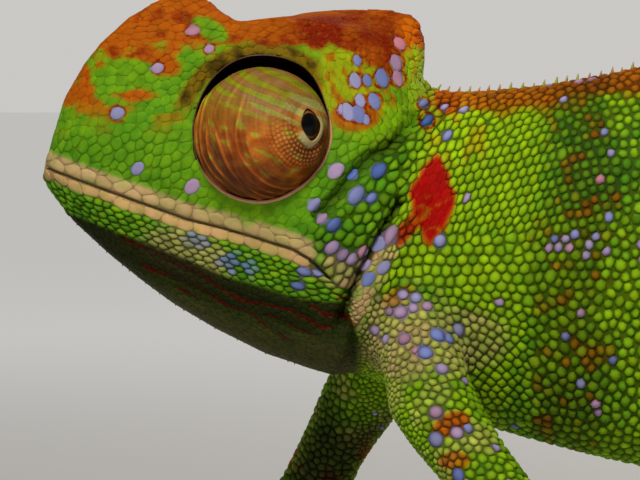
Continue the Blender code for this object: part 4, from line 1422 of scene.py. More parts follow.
def scale_meshes(coat, root_uv, chosen, sides, rings, name):
    """One mesh of many scales: rings of the same outline, closed above and below."""
    plan = coat.plan
    edge, turn = coat.outlines(chosen, sides)
    count, levels = len(chosen), len(rings)
    root = np.sqrt(plan.stretch[chosen])
    width, height = plan.width[chosen], plan.height[chosen] * coat.relief
    height = height * np.clip(edge.mean(axis=1) / 0.46, 0.6, 1.25)
    lean = coat.generator.normal(0, 0.05, (count, 2))
    per = sides * levels + 1
    places, normal = coat.places[chosen], plan.normal[chosen]
    along, across = plan.along[chosen], plan.across[chosen]
    flat_edge = np.stack([edge * np.cos(turn), edge * np.sin(turn)], 2)
    reach = ((flat_edge[:, :, 0] * (width * root)[:, None])[:, :, None] * along[:, None]
             + (flat_edge[:, :, 1] * (width / root)[:, None])[:, :, None] * across[:, None])
    foot, facing = coat.hide.drape((places[:, None] + reach).reshape(-1, 3))
    reach = foot.reshape(count, sides, 3) - places[:, None]
    facing = 0.5 * facing.reshape(count, sides, 3) + 0.5 * normal[:, None]
    tilt = (lean[:, :1] * width[:, None]) * along + (lean[:, 1:] * width[:, None]) * across
    flat = np.clip(2 - 2 * height / (FLAT_MM * MM), 0, 1)
    co, uv, tip_and_painted_light = np.empty((count, per, 3)), np.empty((count, per, 2)), np.empty((count, per))
    for level, (share, up, flat_share, flat_up) in enumerate(rings):
        share, up = share + (flat_share - share) * flat, up + (flat_up - up) * flat
        lift = height * up - np.where(up > 0, 0, FOOT_DEPTH)
        ring = slice(level * sides, (level + 1) * sides)
        toward = facing * share[:, None, None] + normal[:, None] * (1 - share)[:, None, None]
        co[:, ring] = (places[:, None] + reach * share[:, None, None] + lift[:, None, None] * toward
                       + tilt[:, None] * np.maximum(0, up)[:, None, None])
        uv[:, ring] = root_uv[chosen][:, None] + flat_edge * share[:, None, None] * PATCH_ON_BAKE_MAP
        # Painted shade, deepest at the foot of the scale and fading toward its top.
        tip_and_painted_light[:, ring] = (1 - (1 - np.maximum(0, up)) * edge_strength(height))[:, None]
    co[:, -1] = places + tilt + height[:, None] * normal
    uv[:, -1] = root_uv[chosen]
    tip_and_painted_light[:, -1] = 1.0
    co = clear_of_turrets(co.reshape(-1, 3))
    co[:, 2] = np.maximum(co[:, 2], 0.0)

    corners, sizes = scale_faces(sides, levels)
    loops = ((np.arange(count) * per)[:, None] + corners[None]).ravel().astype(np.int32)
    sizes = np.tile(sizes, count)
    mesh = bpy.data.meshes.new(name)
    mesh.vertices.add(count * per)
    mesh.vertices.foreach_set("co", co.astype(np.float32).ravel())
    mesh.loops.add(len(loops))
    mesh.loops.foreach_set("vertex_index", loops)
    mesh.polygons.add(len(sizes))
    mesh.polygons.foreach_set("loop_start", np.concatenate([[0], np.cumsum(sizes)[:-1]]).astype(np.int32))
    layer = mesh.uv_layers.new(name="OFBake")
    layer.uv.foreach_set("vector", uv.reshape(-1, 2)[loops].astype(np.float32).ravel())
    mesh.update(calc_edges=True)
    mesh.validate()
    return mesh, per, tip_and_painted_light


def coat_marks(coat):
    """The colours of whole scales, and how bright each one is."""
    marks = markings(coat.places, coat.plan.normal, coat.region)
    spotted = coat.spot >= 0
    marks["pale"] = np.where(spotted, 1.0, marks["pale"])
    marks["hue"] = np.where(spotted, np.array([spot[3] for spot in SPOTS])[coat.spot], marks["hue"])
    scatter_pale(coat, marks)
    calm = edge_strength(coat.plan.height)
    count, draw = len(coat.places), coat.generator.normal
    vary = np.clip(draw(0.55, 0.05 + 0.14 * calm, count), 0, 1)
    marks["lime"] = np.clip(marks["lime"] + draw(0, 0.16, count) * calm, 0, 1)
    marks["hue"] = np.clip(marks["hue"] + draw(0, 0.09, count), 0, 1)
    back, rise, _ = place_of(coat.places)
    head = coat.region["head"]
    rim = eased((back - 13.4) / 1.5) * eased((rise - 2.5) / 3.0) * head
    lips = within(line_distance(back, rise, MOUTH)[0], 1.3, 0.5) * within(back, 4.2, 0.8) * head
    nape = within(oval(back, rise, NAPE_PATCH, NAPE_RADII), 0.7, 0.6)
    neck = within(np.abs(back - 18.0), 5.0, 4.0) * within(np.abs(rise + 7.0), 7.0, 4.0) * coat.region["neck"]
    # The casque's rear rim is painted light: brighter where it turns away from the lamps. The lips, nape and
    # neck are brighter in their own colour.
    vary = vary + 0.95 * rim + 0.30 * lips + 0.35 * nape
    return marks, vary + 0.16 * neck * (1 - marks["red"]) - 0.18 * marks["red"]


def build_coat(hide, coat_settings, material):
    """All the scales, as pieces that each stay well under 200,000 triangles."""
    coat = Coat(hide, coat_settings)
    root_uv = vertex_uv(hide.mesh)[coat.vert]
    marks, vary = coat_marks(coat)
    back, rise, _ = place_of(coat.places)
    close = (coat.region["head"] + coat.region["neck"] > 0.5) | ((back < 27) & (rise > -40))
    home = np.argmax([coat.region[region] for region in GROUPS], axis=0)
    triangles = 0
    for kind, (sides, rings) in DETAIL.items():
        each = sides * 2 * (len(rings) - 1) + sides + sides - 2
        for k, (region, side) in enumerate(itertools.product(GROUPS, SIDES)):
            mine = (close == (kind == "near")) & (home == k // len(SIDES))
            chosen = np.nonzero(mine & ((coat.places[:, 1] - EYES.y) * SIDES[side] >= 0))[0]
            chosen = chosen[np.argsort(coat.places[chosen, 0])]
            parts = math.ceil(len(chosen) / (MOST_TRIANGLES // each))
            for part, rows_chosen in enumerate(np.array_split(chosen, parts) if parts else []):
                name = f"scales_{region}_{side}_{kind}_{part + 1}"
                mesh, per, tip_and_painted_light = scale_meshes(coat, root_uv, rows_chosen, sides, rings, name)
                spread = {key: np.repeat(value[rows_chosen], per) for key, value in marks.items()}
                if kind == "near":
                    spread.update(marks_within(mesh, coat, spread, rows_chosen, per))
                write_markings(mesh, spread, np.repeat(vary[rows_chosen], per), tip_and_painted_light.ravel())
                show(name, mesh, material)
                triangles += each * len(rows_chosen)
    print(f"coat: {len(coat.places)} scales, {triangles} triangles")


def marks_within(mesh, coat, spread, rows_chosen, per):
    """The markings that run across scales, read at every point of the mesh."""
    region = {name: np.repeat(share[rows_chosen], per) for name, share in coat.region.items()}
    fresh = markings(coordinates(mesh), np.repeat(coat.plan.normal[rows_chosen], per, 0), region)
    found = {key: fresh[key] for key in ("warm", "depth", "red", "dark")}
    flat = np.repeat(coat.plan.height[rows_chosen] < 0.8 * FLAT_MM * MM, per)
    for key in ("lime", "sand"):
        found[key] = np.where(flat, fresh[key], spread[key])
    return found


def scatter_pale(coat, marks):
    """Single pale and blue scales on the body, and the broken stripe along each flank."""
    luck = coat.generator.random(len(coat.places))
    body = np.clip(1 - coat.region["head"], 0, 1)
    back, rise, out = place_of(coat.places)
    seen = (back < 19.5) & (rise > -36) & (out > 0) & (coat.places[:, 1] < EYES.y)
    chance = 0.012 + 0.030 * coat.region["limb"] + 0.10 * marks["bars"]
    chance = chance * body * (1 - marks["throat"]) * (1 - marks["red"]) * (1 - marks["dark"]) * ~seen
    marks["pale"] = np.where((luck < chance) | (luck < marks["stripe"] * 0.92), 1.0, marks["pale"])
    bluish = within(oval(back, rise, (-2.7, -13.1), (2.0, 1.25), -15), 0.75, 0.5)
    bluish = strongest(bluish, 0.8 * within(oval(back, rise, (-6.6, -10.6), (1.4, 0.7), -15), 0.75, 0.5))
    bluish = bluish * coat.region["head"] * (luck < 0.75)
    marks["pale"] = strongest(marks["pale"], 0.7 * bluish)
    marks["hue"] = np.where(bluish > 0.3, 0.85, marks["hue"])
    marks["dark"] = strongest(marks["dark"], 0.3 * bluish)


# ---------------------------------------------------------------- eyes

# The slit of the lid, and the bulge that carries it
SLIT_MM = (1.30, 1.75)
SLIT_CORNER = 1.6
BULGE_MM = 1.15
BULGE_WIDTH = math.radians(26)
SINK_MM = 0.10
BACK_OF_TURRET = math.radians(140)
# Rings of the slit's wall, as (depth in millimetres, share of the slit's width)
LID_WALL = ((0.95, 0.80), (0.60, 0.87), (0.28, 0.93), (0.09, 0.98))
# Nothing of a turret comes nearer than this to the middle of the head
HALF_WALL = 0.0026
STREAK_SLOPE = math.radians(-27)
STREAK_STEP = 1.15
PLEAT_MM, CREASE_MM = 1.35, 0.62
BEAD_MM, BEAD_WIDTH_MM = 0.40, 0.44


def turret_relief(arc_mm, from_rim, azimuth, world, swirl, lower_lid):
    """Height of the folds, beads and lid, in millimetres, and how much each point stands out, which the lid's
    material turns into painted highlight on the ridges and painted shade in the creases.
    """
    shape = arc_mm.shape
    broad = grain(swirl, 2.6, 12).reshape(shape)
    patchy = grain(swirl, 1.9, 15).reshape(shape)
    fine = grain(swirl, 0.5, 16).reshape(shape)
    pleat = (0.5 + 0.5 * np.cos(2 * math.pi * (arc_mm / PLEAT_MM + 1.1 * broad))) ** 6
    crease = (0.5 + 0.5 * np.cos(2 * math.pi * (arc_mm / CREASE_MM + 1.7 * patchy))) ** 3
    forward = np.clip(0.55 - world[:, :, 0] * 0.85 - world[:, :, 2] * 0.55, 0, 1)
    strength = forward * eased((patchy + 0.30) / 0.6) * within(-from_rim, -1.6, 1.0)
    ring = np.floor(arc_mm / BEAD_MM)
    in_ring = arc_mm / BEAD_MM - ring
    reach = TURRET_RADIUS / MM
    around_ring = 2 * math.pi * np.sin((ring + 0.5) * BEAD_MM / reach) * reach / BEAD_WIDTH_MM
    around_ring = np.maximum(6, np.round(around_ring))
    cell = azimuth / (2 * math.pi) * around_ring + 0.5 * (ring % 2) + 0.15 * np.sin(7 * ring)
    bead = (1 - (2 * in_ring - 1) ** 2) * (1 - (2 * (cell - np.floor(cell)) - 1) ** 2)
    beaded = eased((0.30 - world[:, :, 2] * 1.3 + world[:, :, 0] * 0.4) / 0.5)
    beaded = beaded * within(arc_mm, 3.7, 1.4) * within(-from_rim, -0.75, 0.4)
    beaded = beaded * within(world[:, :, 0], 0.72, 0.2)
    lid = within(np.abs(from_rim - 0.26), 0.14, 0.36)
    lift = 0.17 * pleat * strength + 0.035 * crease * (0.2 + 0.8 * forward) * (1 - beaded)
    lift += bead ** 0.6 * (0.022 + 0.10 * beaded) * (1 - lid) + 0.035 * fine + 0.04 * patchy
    lift += lid * (0.03 + 0.17 * lower_lid) - 0.16 * within(np.abs(from_rim - 0.95), 0.10, 0.35) * lower_lid
    lift -= 0.34 * within(from_rim, 0.25, 1.6)
    tip_and_painted_light = 0.26 + 0.80 * pleat * strength + 0.16 * crease * (0.3 + 0.7 * forward)
    tip_and_painted_light += bead * (0.12 + 0.65 * beaded) + 0.25 * lid
    return lift, np.clip(tip_and_painted_light + 0.16 * fine, 0, 1), bead * beaded


def sphere_places(polar, azimuth):
    return np.stack([np.sin(polar) * np.cos(azimuth), np.sin(polar) * np.sin(azimuth), np.cos(polar)], 2)


def turret_mesh(side, around, steps):
    """A turret: folded, beaded hide round the gaze, down into the slit that bares the eye."""
    turn = np.array(GAZE[side].to_track_quat("Z", "Y").to_matrix())
    phi = np.arange(around) * 2 * math.pi / around
    rim_mm = (np.abs(np.cos(phi) / SLIT_MM[0]) ** SLIT_CORNER
              + np.abs(np.sin(phi) / SLIT_MM[1]) ** SLIT_CORNER) ** (-1 / SLIT_CORNER)
    radius_mm = TURRET_RADIUS / MM
    rim = np.arcsin(rim_mm / (radius_mm + BULGE_MM))
    share = np.linspace(0, 1, steps)[:, None]
    polar = rim + (BACK_OF_TURRET - rim) * share
    azimuth = np.broadcast_to(phi, polar.shape)
    direction = sphere_places(polar, azimuth)
    world = direction @ turn.T
    arc_mm = polar * radius_mm
    swirl = np.stack([arc_mm, *(direction[:, :, k] * radius_mm * 0.42 for k in (0, 1))], 2).reshape(-1, 3)
    from_rim = arc_mm - rim * radius_mm
    rearward = np.cos(azimuth) * -SIDES[side]
    lower_lid = eased((0.30 - np.sin(azimuth) + 0.45 * rearward) / 0.9)
    lift, tip_and_painted_light, bead = turret_relief(arc_mm, from_rim, azimuth, world, swirl, lower_lid)
    radius = radius_mm + BULGE_MM * np.exp(-(polar / BULGE_WIDTH) ** 2) + lift - SINK_MM
    shell = direction * radius[:, :, None]
    wall = [shell[0] * (pull, pull, 1) - (0, 0, depth) for depth, pull in LID_WALL]
    rings = np.concatenate([np.array(wall), shell])
    co = rings.reshape(-1, 3) @ turn.T * MM + np.array(TURRET[side])
    co[:, 1] += np.maximum(0, HALF_WALL - (co[:, 1] - EYES.y) * SIDES[side]) * SIDES[side]
    k = np.arange(around)
    faces = ring_quads(len(rings), around)[:, ::-1].tolist()
    faces += [((len(rings) - 1) * around + k).tolist(), k[::-1].tolist()]
    mesh = mesh_of(f"turret_{side}", co.tolist(), faces)

    def padded(values, inner=0.0):
        return np.concatenate([np.full((len(LID_WALL), around), inner), values]).ravel()

    marks, vary, olive = turret_marks(world, swirl, arc_mm, from_rim, lower_lid, tip_and_painted_light, bead)
    # The slit's wall is painted shade: full umber, none of the lighter tones, and the dimmest relief light.
    set_attribute(mesh, "marks", np.stack([padded(layer, float(name == "shaded_underside"))
                                           for name, layer in marks.items()], 1))
    for name, values in (("vary", vary), ("tip_and_painted_light", tip_and_painted_light), ("olive", olive)):
        set_attribute(mesh, name, padded(values))
    return mesh


def turret_marks(world, swirl, arc_mm, from_rim, lower_lid, tip_and_painted_light, bead):
    """The colours of a turret as shares: lime, lilac, cream and the painted shade of its underside, then two
    tones of its ground.
    """
    shape = arc_mm.shape
    broad = grain(swirl, 2.4, 21).reshape(shape)
    round_mm = world.reshape(-1, 3) * (TURRET_RADIUS / MM)
    c, s = math.cos(STREAK_SLOPE), math.sin(STREAK_SLOPE)
    flow = np.stack([(round_mm[:, 0] * c + round_mm[:, 2] * s) * 0.33, round_mm[:, 1] * 0.5,
                     round_mm[:, 2] * c - round_mm[:, 0] * s], 1)
    stripes = flow[:, 2] / STREAK_STEP + 0.30 * grain(flow, 1.6, 13)
    streak = (np.cos(2 * math.pi * stripes) * 0.6 + 0.55 * grain(flow, 0.8, 19)).reshape(shape)
    dapple = grain(flow * (1.6, 1, 1), 0.8, 14).reshape(shape)
    mottle = grain(round_mm, 0.7, 17).reshape(shape)
    up, rear = world[:, :, 2], world[:, :, 0]
    # Painted shade: umber on the underside, under the lower lid and low at the rear, with less of it on the
    # raised folds.
    shaded_underside = strongest(
        eased((0.02 - up * 0.95 - 0.30 * rear + 0.45 * broad) / 0.7) * eased((arc_mm - 3.0) / 5),
        within(np.abs(from_rim - 1.25), 0.3, 0.6) * 0.9 * lower_lid,
        0.8 * eased((rear - 0.50) / 0.2) * eased((0.02 - up) / 0.3))
    marks = {
        "lime": strongest(
            eased((streak + 0.25 * up - 0.22) / 0.26) * eased((up + 0.25 * rear - 0.12) / 0.3),
            0.7 * eased((mottle + 0.4 * streak - 0.42) / 0.2) * within(-up, 0.45, 0.3)),
        "lilac": strongest(
            eased((-streak + 0.5 * dapple + 0.1) / 0.5) * eased((up + 0.2 * rear - 0.20) / 0.35),
            0.8 * eased((mottle - 0.45) / 0.15) * eased((up + 0.35) / 0.4)),
        "cream": strongest(
            within(np.abs(from_rim - 0.30), 0.20, 0.26) * lower_lid,
            0.42 * within(from_rim, 1.2, 1.7) * eased((up + 0.02) / 0.3) * eased(0.6 + streak),
            0.30 * bead * within(from_rim, 1.8, 1.5)),
        "shaded_underside": shaded_underside * (1 - 0.6 * tip_and_painted_light),
    }
    return marks, np.clip(0.5 + 0.55 * mottle + 0.35 * broad, 0, 1), eased((up + 0.1) / 0.7)


def turret_material(colours):
    material, tree, shader = start_material("eyelid")
    lime, lilac, cream, shaded_underside = channels(tree, "marks")
    tip_and_painted_light, vary = number(tree, "tip_and_painted_light"), number(tree, "vary")
    cloud, fibres = noise(tree, 1500.0, 4.0), noise(tree, 4200.0, 2.0)
    layers = (
        ((vary * 0.8 + cloud * 0.9 - 0.40).clamped(), colours.lid_amber),
        (number(tree, "olive") * 0.75, colours.lid_olive),
        ((lilac * 0.32 + (cloud - 0.5) * 0.3).clamped() * lilac, colours.lid_dull),
        ((lime + (cloud - 0.5) * 0.5).clamped() * lime.between(0.05, 0.3), colours.lid_lime),
        ((shaded_underside * 0.92).clamped(), colours.lid_brown),
        ((cream + (fibres - 0.5) * 0.3).clamped() * cream.between(0.05, 0.4), colours.lid_cream),
    )
    colour = colours.lid_rust
    for share, paint in layers:
        colour = blend(tree, share, colour, paint)
    # Painted light: brighter on the raised folds, beads and lid, darker in the creases and the slit.
    bright = 0.40 + tip_and_painted_light * 0.95
    plug(tree, shader, Base_Color=shaded(tree, colour, bright, bright * 0.97, bright * 0.93),
         Roughness=0.48 + (cloud - 0.5) * 0.3, Normal=bumps(tree, fibres, 0.35, 0.00005),
         Specular_IOR_Level=0.12)
    return material


EYEBALL_RADIUS = 0.00222
# How far the cornea stands out, in radii, and how wide it is
CORNEA = 0.075
CORNEA_WIDTH = 0.6


def eyeball_mesh(side):
    """A ball with a low cornea; the attribute holds the distance from the gaze, in millimetres."""
    around, steps, radius = 72, 44, EYEBALL_RADIUS
    turn = np.array(GAZE[side].to_track_quat("Z", "Y").to_matrix())
    polar = np.linspace(0, math.pi, steps + 1)[1:-1]
    phi = np.arange(around) * 2 * math.pi / around
    polar, phi = np.meshgrid(polar, phi, indexing="ij")
    swell = 1 + CORNEA * np.exp(-(polar / CORNEA_WIDTH) ** 2)
    shell = (sphere_places(polar, phi) * swell[:, :, None] * radius).reshape(-1, 3)
    local = np.concatenate([shell, [[0, 0, radius * (1 + CORNEA)], [0, 0, -radius]]])
    co = local @ turn.T + np.array(EYEBALL[side])
    faces = np.roll(ring_quads(steps - 1, around)[:, ::-1], 1, axis=1).tolist()
    pole, last_ring, k = len(shell), (steps - 2) * around, np.arange(around)
    ends = np.stack([k, (k + 1) % around], 1).tolist()
    faces += [[pole, a, b] for a, b in ends] + [[pole + 1, last_ring + b, last_ring + a] for a, b in ends]
    mesh = mesh_of(f"eye_{side}", co.tolist(), faces)
    set_attribute(mesh, "off_gaze", np.concatenate([(polar * radius / MM).ravel(), [0.0, 9.0]]))
    return mesh


def eyeball_material(colours):
    material, tree, shader = start_material("eyeball")
    off = number(tree, "off_gaze")
    fibres = noise(tree, 5000.0, 3.0)
    iris = blend(tree, fibres, colours.iris, colours.iris_gold)
    iris = blend(tree, off.between(1.35, 1.75), iris, colours.iris_edge)
    colour = blend(tree, (off + (fibres - 0.5) * 0.08).between(1.12, 1.22), colours.pupil, iris)
    plug(tree, shader, Base_Color=colour, Roughness=0.3, Specular_IOR_Level=0.1, Coat_Weight=0.15,
         Coat_Roughness=0.04)
    return material


# Points along the lip of a socket and round it
FOLD_POINTS, FOLD_SIDES = 220, 12
# The lip's half thickness under the brow, what it gains below, and its width against its height
FOLD_THIN, FOLD_GAIN, FOLD_FLAT = 0.00005, 0.00009, 1.25


def socket_leans(hide, centre, sign, clock):
    """For each direction round a turret, how far out from the head's plane the skin goes on."""
    leans = []
    for turn in clock:
        toward = Vector((math.cos(turn), 0, math.sin(turn)))
        last = 0.0
        for lean in np.arange(0.0, 1.3, 0.01):
            direction = toward * math.cos(lean) + Vector((0, sign, 0)) * math.sin(lean)
            hit = hide.tree.ray_cast(centre, direction)[0]
            if hit is None or (hit - centre).length > TURRET_RADIUS + 0.0018:
                break
            last = lean
        leans.append(last)
    leans = np.array(leans)
    for _ in range(10):
        leans = 0.5 * leans + 0.25 * (np.roll(leans, 1) + np.roll(leans, -1))
    return leans


def fold_mesh(hide, side):
    """The lip of skin round a turret: pink and full below and behind it, thin under the brow."""
    sign, sides = SIDES[side], FOLD_SIDES
    clock = np.arange(FOLD_POINTS) * 2 * math.pi / FOLD_POINTS
    leans = socket_leans(hide, TURRET[side], sign, clock)
    centre = np.array(TURRET[side])
    path = np.stack([np.cos(clock) * np.cos(leans), sign * np.sin(leans), np.sin(clock) * np.cos(leans)], 1)
    degrees = (np.degrees(clock) + 180) % 360 - 180
    full = eased((degrees + 165) / 30) * eased((28 - degrees) / 35)
    thick = FOLD_THIN + FOLD_GAIN * full
    path = centre + path * (socket_reach(path) + 0.00004 + 0.3 * thick)[:, None]
    ahead = np.roll(path, -1, 0) - np.roll(path, 1, 0)
    ahead /= np.linalg.norm(ahead, axis=1)[:, None]
    outward = path - centre
    outward -= np.einsum("ij,ij->i", outward, ahead)[:, None] * ahead
    outward /= np.linalg.norm(outward, axis=1)[:, None]
    lift = np.cross(ahead, outward)
    verts = [path + (thick * math.cos(a) * FOLD_FLAT)[:, None] * outward
             + (thick * math.sin(a))[:, None] * lift
             for a in (2 * math.pi * k / sides for k in range(sides))]
    faces = ring_quads(FOLD_POINTS, sides, closed=True).tolist()
    mesh = mesh_of(f"fold_{side}", np.stack(verts, 1).reshape(-1, 3).tolist(), faces)
    shell = bmesh.new()
    shell.from_mesh(mesh)
    bmesh.ops.recalc_face_normals(shell, faces=shell.faces)
    shell.to_mesh(mesh)
    shell.free()
    set_attribute(mesh, "tip_and_painted_light", np.repeat(full, sides))
    return mesh


def fold_material(colours):
    material, tree, shader = start_material("fold")
    tip_and_painted_light = number(tree, "tip_and_painted_light")
    cloud, fibres = noise(tree, 1400.0, 3.0), noise(tree, 4500.0, 2.0)
    colour = blend(tree, cloud, colours.fold, colours.fold_pink)
    colour = blend(tree, tip_and_painted_light, colours.fold_shadow, colour)
    plug(tree, shader, Base_Color=colour, Roughness=0.42 + (cloud - 0.5) * 0.3,
         Normal=bumps(tree, fibres, 0.3, 0.00005))
    return material


# ---------------------------------------------------------------- crests and claws

def spike_tree(material):
    """Node group: a small cone on each point, sized and turned by the point's own attributes."""
    tree = bpy.data.node_groups.new("Spikes", "GeometryNodeTree")
    for name, way in (("Points", "INPUT"), ("Spikes", "OUTPUT")):
        tree.interface.new_socket(name, in_out=way, socket_type="NodeSocketGeometry")

    def add(kind, values, output=0, **settings):
        return node(tree, "GeometryNode" + kind, settings, values, output)

    def read(name):
        return add("InputNamedAttribute", {"Name": name}, "Attribute", data_type="FLOAT_VECTOR")

    cone = add("MeshCone", {"Vertices": 8, "Side Segments": 3, "Radius Top": 0.16, "Radius Bottom": 0.62,
                            "Depth": 2.0})
    place = add("InputPosition", {})
    height = node(tree, "ShaderNodeSeparateXYZ", {}, {"Vector": place}, "Z")
    cone = add("StoreNamedAttribute", {"Geometry": cone, "Name": "tip_and_painted_light", "Value": height * 0.5},
               data_type="FLOAT", domain="POINT")
    points = Wire(tree, tree.nodes.new("NodeGroupInput").outputs["Points"])
    cones = add("InstanceOnPoints", {"Points": points, "Instance": cone, "Rotation": read("turn"),
                                     "Scale": read("size")})
    cones = add("SetMaterial", {"Geometry": add("RealizeInstances", {"Geometry": cones}),
                                "Material": material})
    tree.links.new(cones.socket, tree.nodes.new("NodeGroupOutput").inputs["Spikes"])
    return tree


def spikes(name, places, directions, heights, widths, tree):
    """Bakes a row of small cones at these places."""
    points = mesh_of(name, [tuple(p) for p in places], [])
    turns = [Vector(d).to_track_quat("Z", "Y").to_euler() for d in directions]
    set_attribute(points, "turn", np.array([tuple(t) for t in turns]))
    set_attribute(points, "size", np.stack([widths, widths, heights / 2], 1))

    def grow(holder):
        holder.modifiers.new("Spikes", "NODES").node_group = tree

    return evaluated(points, name, grow)


# Crests, as (name, start and end behind the eyes, step, which way to look at the skin, height, width)
CRESTS = (
    ("crest_back", 0.0175, 0.122, 0.0011, -1, 0.00095, 0.00036),
    ("crest_throat", -0.0190, 0.0060, 0.00075, 1, 0.00030, 0.00022),
)
CREST_WOBBLE = 0.00006
# How deep the foot of a spike sits in the skin, and how far it leans back
SPIKE_SINK, SPIKE_LEAN = 0.0001, 0.35


def crest_line(hide, low, high, step, direction, generator):
    """Places along the middle of the animal, found by looking along direction at the skin."""
    found = []
    x = low
    while x < high:
        y = EYES.y + generator.normal(0, CREST_WOBBLE)
        start = Vector((x, y, 0.2 if direction < 0 else 0.002))
        hit, normal, _, _ = hide.tree.ray_cast(start, Vector((0, 0, direction)))
        if hit is not None:
            found.append((hit, normal))
        x += step * generator.uniform(0.85, 1.15)
    return found


def spike_material(colours):
    material, tree, shader = start_material("crest")
    tip_and_painted_light = number(tree, "tip_and_painted_light")
    cloud, fibres = noise(tree, 500.0, 3.0), noise(tree, 4500.0, 2.0)
    colour = blend(tree, cloud.between(0.35, 0.65), colours.orange, colours.lime)
    colour = blend(tree, tip_and_painted_light.between(0.3, 1.0), colour, colours.sand)
    plug(tree, shader, Base_Color=colour, Roughness=0.5 + (cloud - 0.5) * 0.3,
         Normal=bumps(tree, fibres, 0.3, 0.00005))
    return material


# How far the root of a claw is drawn back into its toe
CLAW_ROOT = 0.0012


def claw_material(colours):
    material, tree, shader = start_material("claw")
    cloud, lines = noise(tree, 900.0, 3.0), noise(tree, 3800.0, 2.0)
    colour = blend(tree, cloud, colours.horn, colours.horn_pale)
    plug(tree, shader, Base_Color=colour, Roughness=0.32 + (cloud - 0.5) * 0.2,
         Normal=bumps(tree, lines, 0.25, 0.00004))
    return material


# ---------------------------------------------------------------- operators

built = {}


class CHAMELEON_OT_skin(Operator):
    """Joins the solids of flesh into one skin and lays it inside the coat"""
    bl_idname = "chameleon.skin"
    bl_label = "Skin"

    def execute(self, context):
        hide = built["hide"] = make_skin(context.scene.chameleon_skin)
        marks = markings(hide.co, hide.normal, hide.region)
        material = coat_material("skin", context.scene.chameleon_colours, 0.6, 0.22)
        tip_and_painted_light, sand = hide.under_scales()
        marks["sand"] = strongest(marks["sand"], sand)
        write_markings(hide.mesh, marks, np.full(len(hide.co), 0.5), tip_and_painted_light)
        skin = show("skin", hide.mesh, material)
        unwrap(skin)
        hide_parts(*FLESH)
        return {"FINISHED"}


class CHAMELEON_OT_coat(Operator):
    """Covers the skin with scales"""
    bl_idname = "chameleon.coat"
    bl_label = "Coat"

    def execute(self, context):
        if "hide" not in built:
            raise RuntimeError("Make the skin first")
        material = coat_material("scales", context.scene.chameleon_colours, 0.50, 0.32)
        build_coat(built["hide"], context.scene.chameleon_coat, material)
        return {"FINISHED"}


class CHAMELEON_OT_eyes(Operator):
    """Builds the turrets, the folds of skin round them and the eyeballs"""
    bl_idname = "chameleon.eyes"
    bl_label = "Eyes"

    def execute(self, context):
        colours = context.scene.chameleon_colours
        lid, ball, fold = (make(colours) for make in (turret_material, eyeball_material, fold_material))
        for side, detail in (("left", (330, 176)), ("right", (240, 128))):
            turret = show(f"turret_{side}", turret_mesh(side, *detail), lid)
            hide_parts(f"eye_turret_{side}")
            eye = show(f"eye_{side}", eyeball_mesh(side), ball)
            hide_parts(f"eyeball_{side}")
            show(f"fold_{side}", fold_mesh(built["hide"], side), fold)
        return {"FINISHED"}


class CHAMELEON_OT_crests(Operator):
    """Sets the rows of small spikes along the back and under the chin"""
    bl_idname = "chameleon.crests"
    bl_label = "Crests"

    def execute(self, context):
        generator = np.random.default_rng(3)
        material = spike_material(context.scene.chameleon_colours)
        tree = spike_tree(material)
        for name, low, high, step, direction, height, width in CRESTS:
            found = crest_line(built["hide"], EYES.x + low, EYES.x + high, step, direction, generator)
            places = [hit - normal * SPIKE_SINK for hit, normal in found]
            lean = [normal + Vector((SPIKE_LEAN, 0, 0)) for _, normal in found]
            sizes = np.array([height * generator.uniform(0.75, 1.15) for _ in found])
            mesh = spikes(name, places, lean, sizes, np.full(len(found), width) * sizes / height, tree)
            show(name, mesh, material)
        return {"FINISHED"}


def seat_in_toe(mesh):
    """Draws the thick end of a claw back into its toe."""
    co = coordinates(mesh)
    away = co - co.mean(axis=0)
    axis = np.linalg.svd(away, full_matrices=False)[2][0]
    along = away @ axis
    thick = np.linalg.norm(away - along[:, None] * axis, axis=1)
    share = (along - along.min()) / np.ptp(along)
    if thick[share > 0.7].mean() < thick[share < 0.3].mean():
        axis, share = -axis, 1 - share
    write_coordinates(mesh, co + np.clip((share - 0.55) / 0.3, 0, 1)[:, None] * axis * CLAW_ROOT)


class CHAMELEON_OT_claws(Operator):
    """Puts a smooth claw in the place of each one of the frame"""
    bl_idname = "chameleon.claws"
    bl_label = "Claws"

    def execute(self, context):
        material = claw_material(context.scene.chameleon_colours)

        def soften(holder):
            smooth = holder.modifiers.new("Subdivision", "SUBSURF")
            smooth.levels = smooth.render_levels = 2

        for name in sorted(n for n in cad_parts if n.startswith("claw")):
            coarse = joined_solids([name], name)
            seat_in_toe(coarse)
            horn = show(name.replace("claw", "horn"), evaluated(coarse, name, soften), material)
            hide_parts(name)
        return {"FINISHED"}


# ---------------------------------------------------------------- stage

VIEW_WIDTH = 0.0631
# What the camera looks at, from the eyes
AIM = Vector((0.0057, -0.0100, -0.0104))
LENS = 175.0
SENSOR = 36.0
ELEVATION = math.radians(3.0)
FLOOR_RADIUS = 6.0
FLOOR_SIDES = 96
HORIZON = (0.50, 0.49, 0.47)
HORIZON_SEEN = (0.59, 0.58, 0.56)
SKY = (0.9, 0.95, 1.0)
SKY_STRENGTH = 0.14
BLACK = (0, 0, 0)
# Lights, as (name, place from the camera's aim, size, share of the key light's power, colour)
LIGHTS = (
    ("key", (-0.04, -0.29, 0.35), 0.11, 1.0, (1.0, 0.95, 0.87)),
    ("fill", (-0.40, -0.40, 0.10), 0.40, 0.14, (0.9, 0.95, 1.0)),
    ("back", (0.30, 0.55, 0.25), 0.40, 0.75, (1.0, 0.96, 0.9)),
)


def area_light(name, place, aim, size, power, colour):
    light = bpy.data.lights.new(name, "AREA")
    light.shape, light.size, light.energy, light.color = "DISK", size, power, colour
    lamp = bpy.data.objects.new(name, light)
    lamp.location = place
    lamp.rotation_euler = (Vector(place) - Vector(aim)).to_track_quat("Z", "Y").to_euler()
    bpy.context.scene.collection.objects.link(lamp)


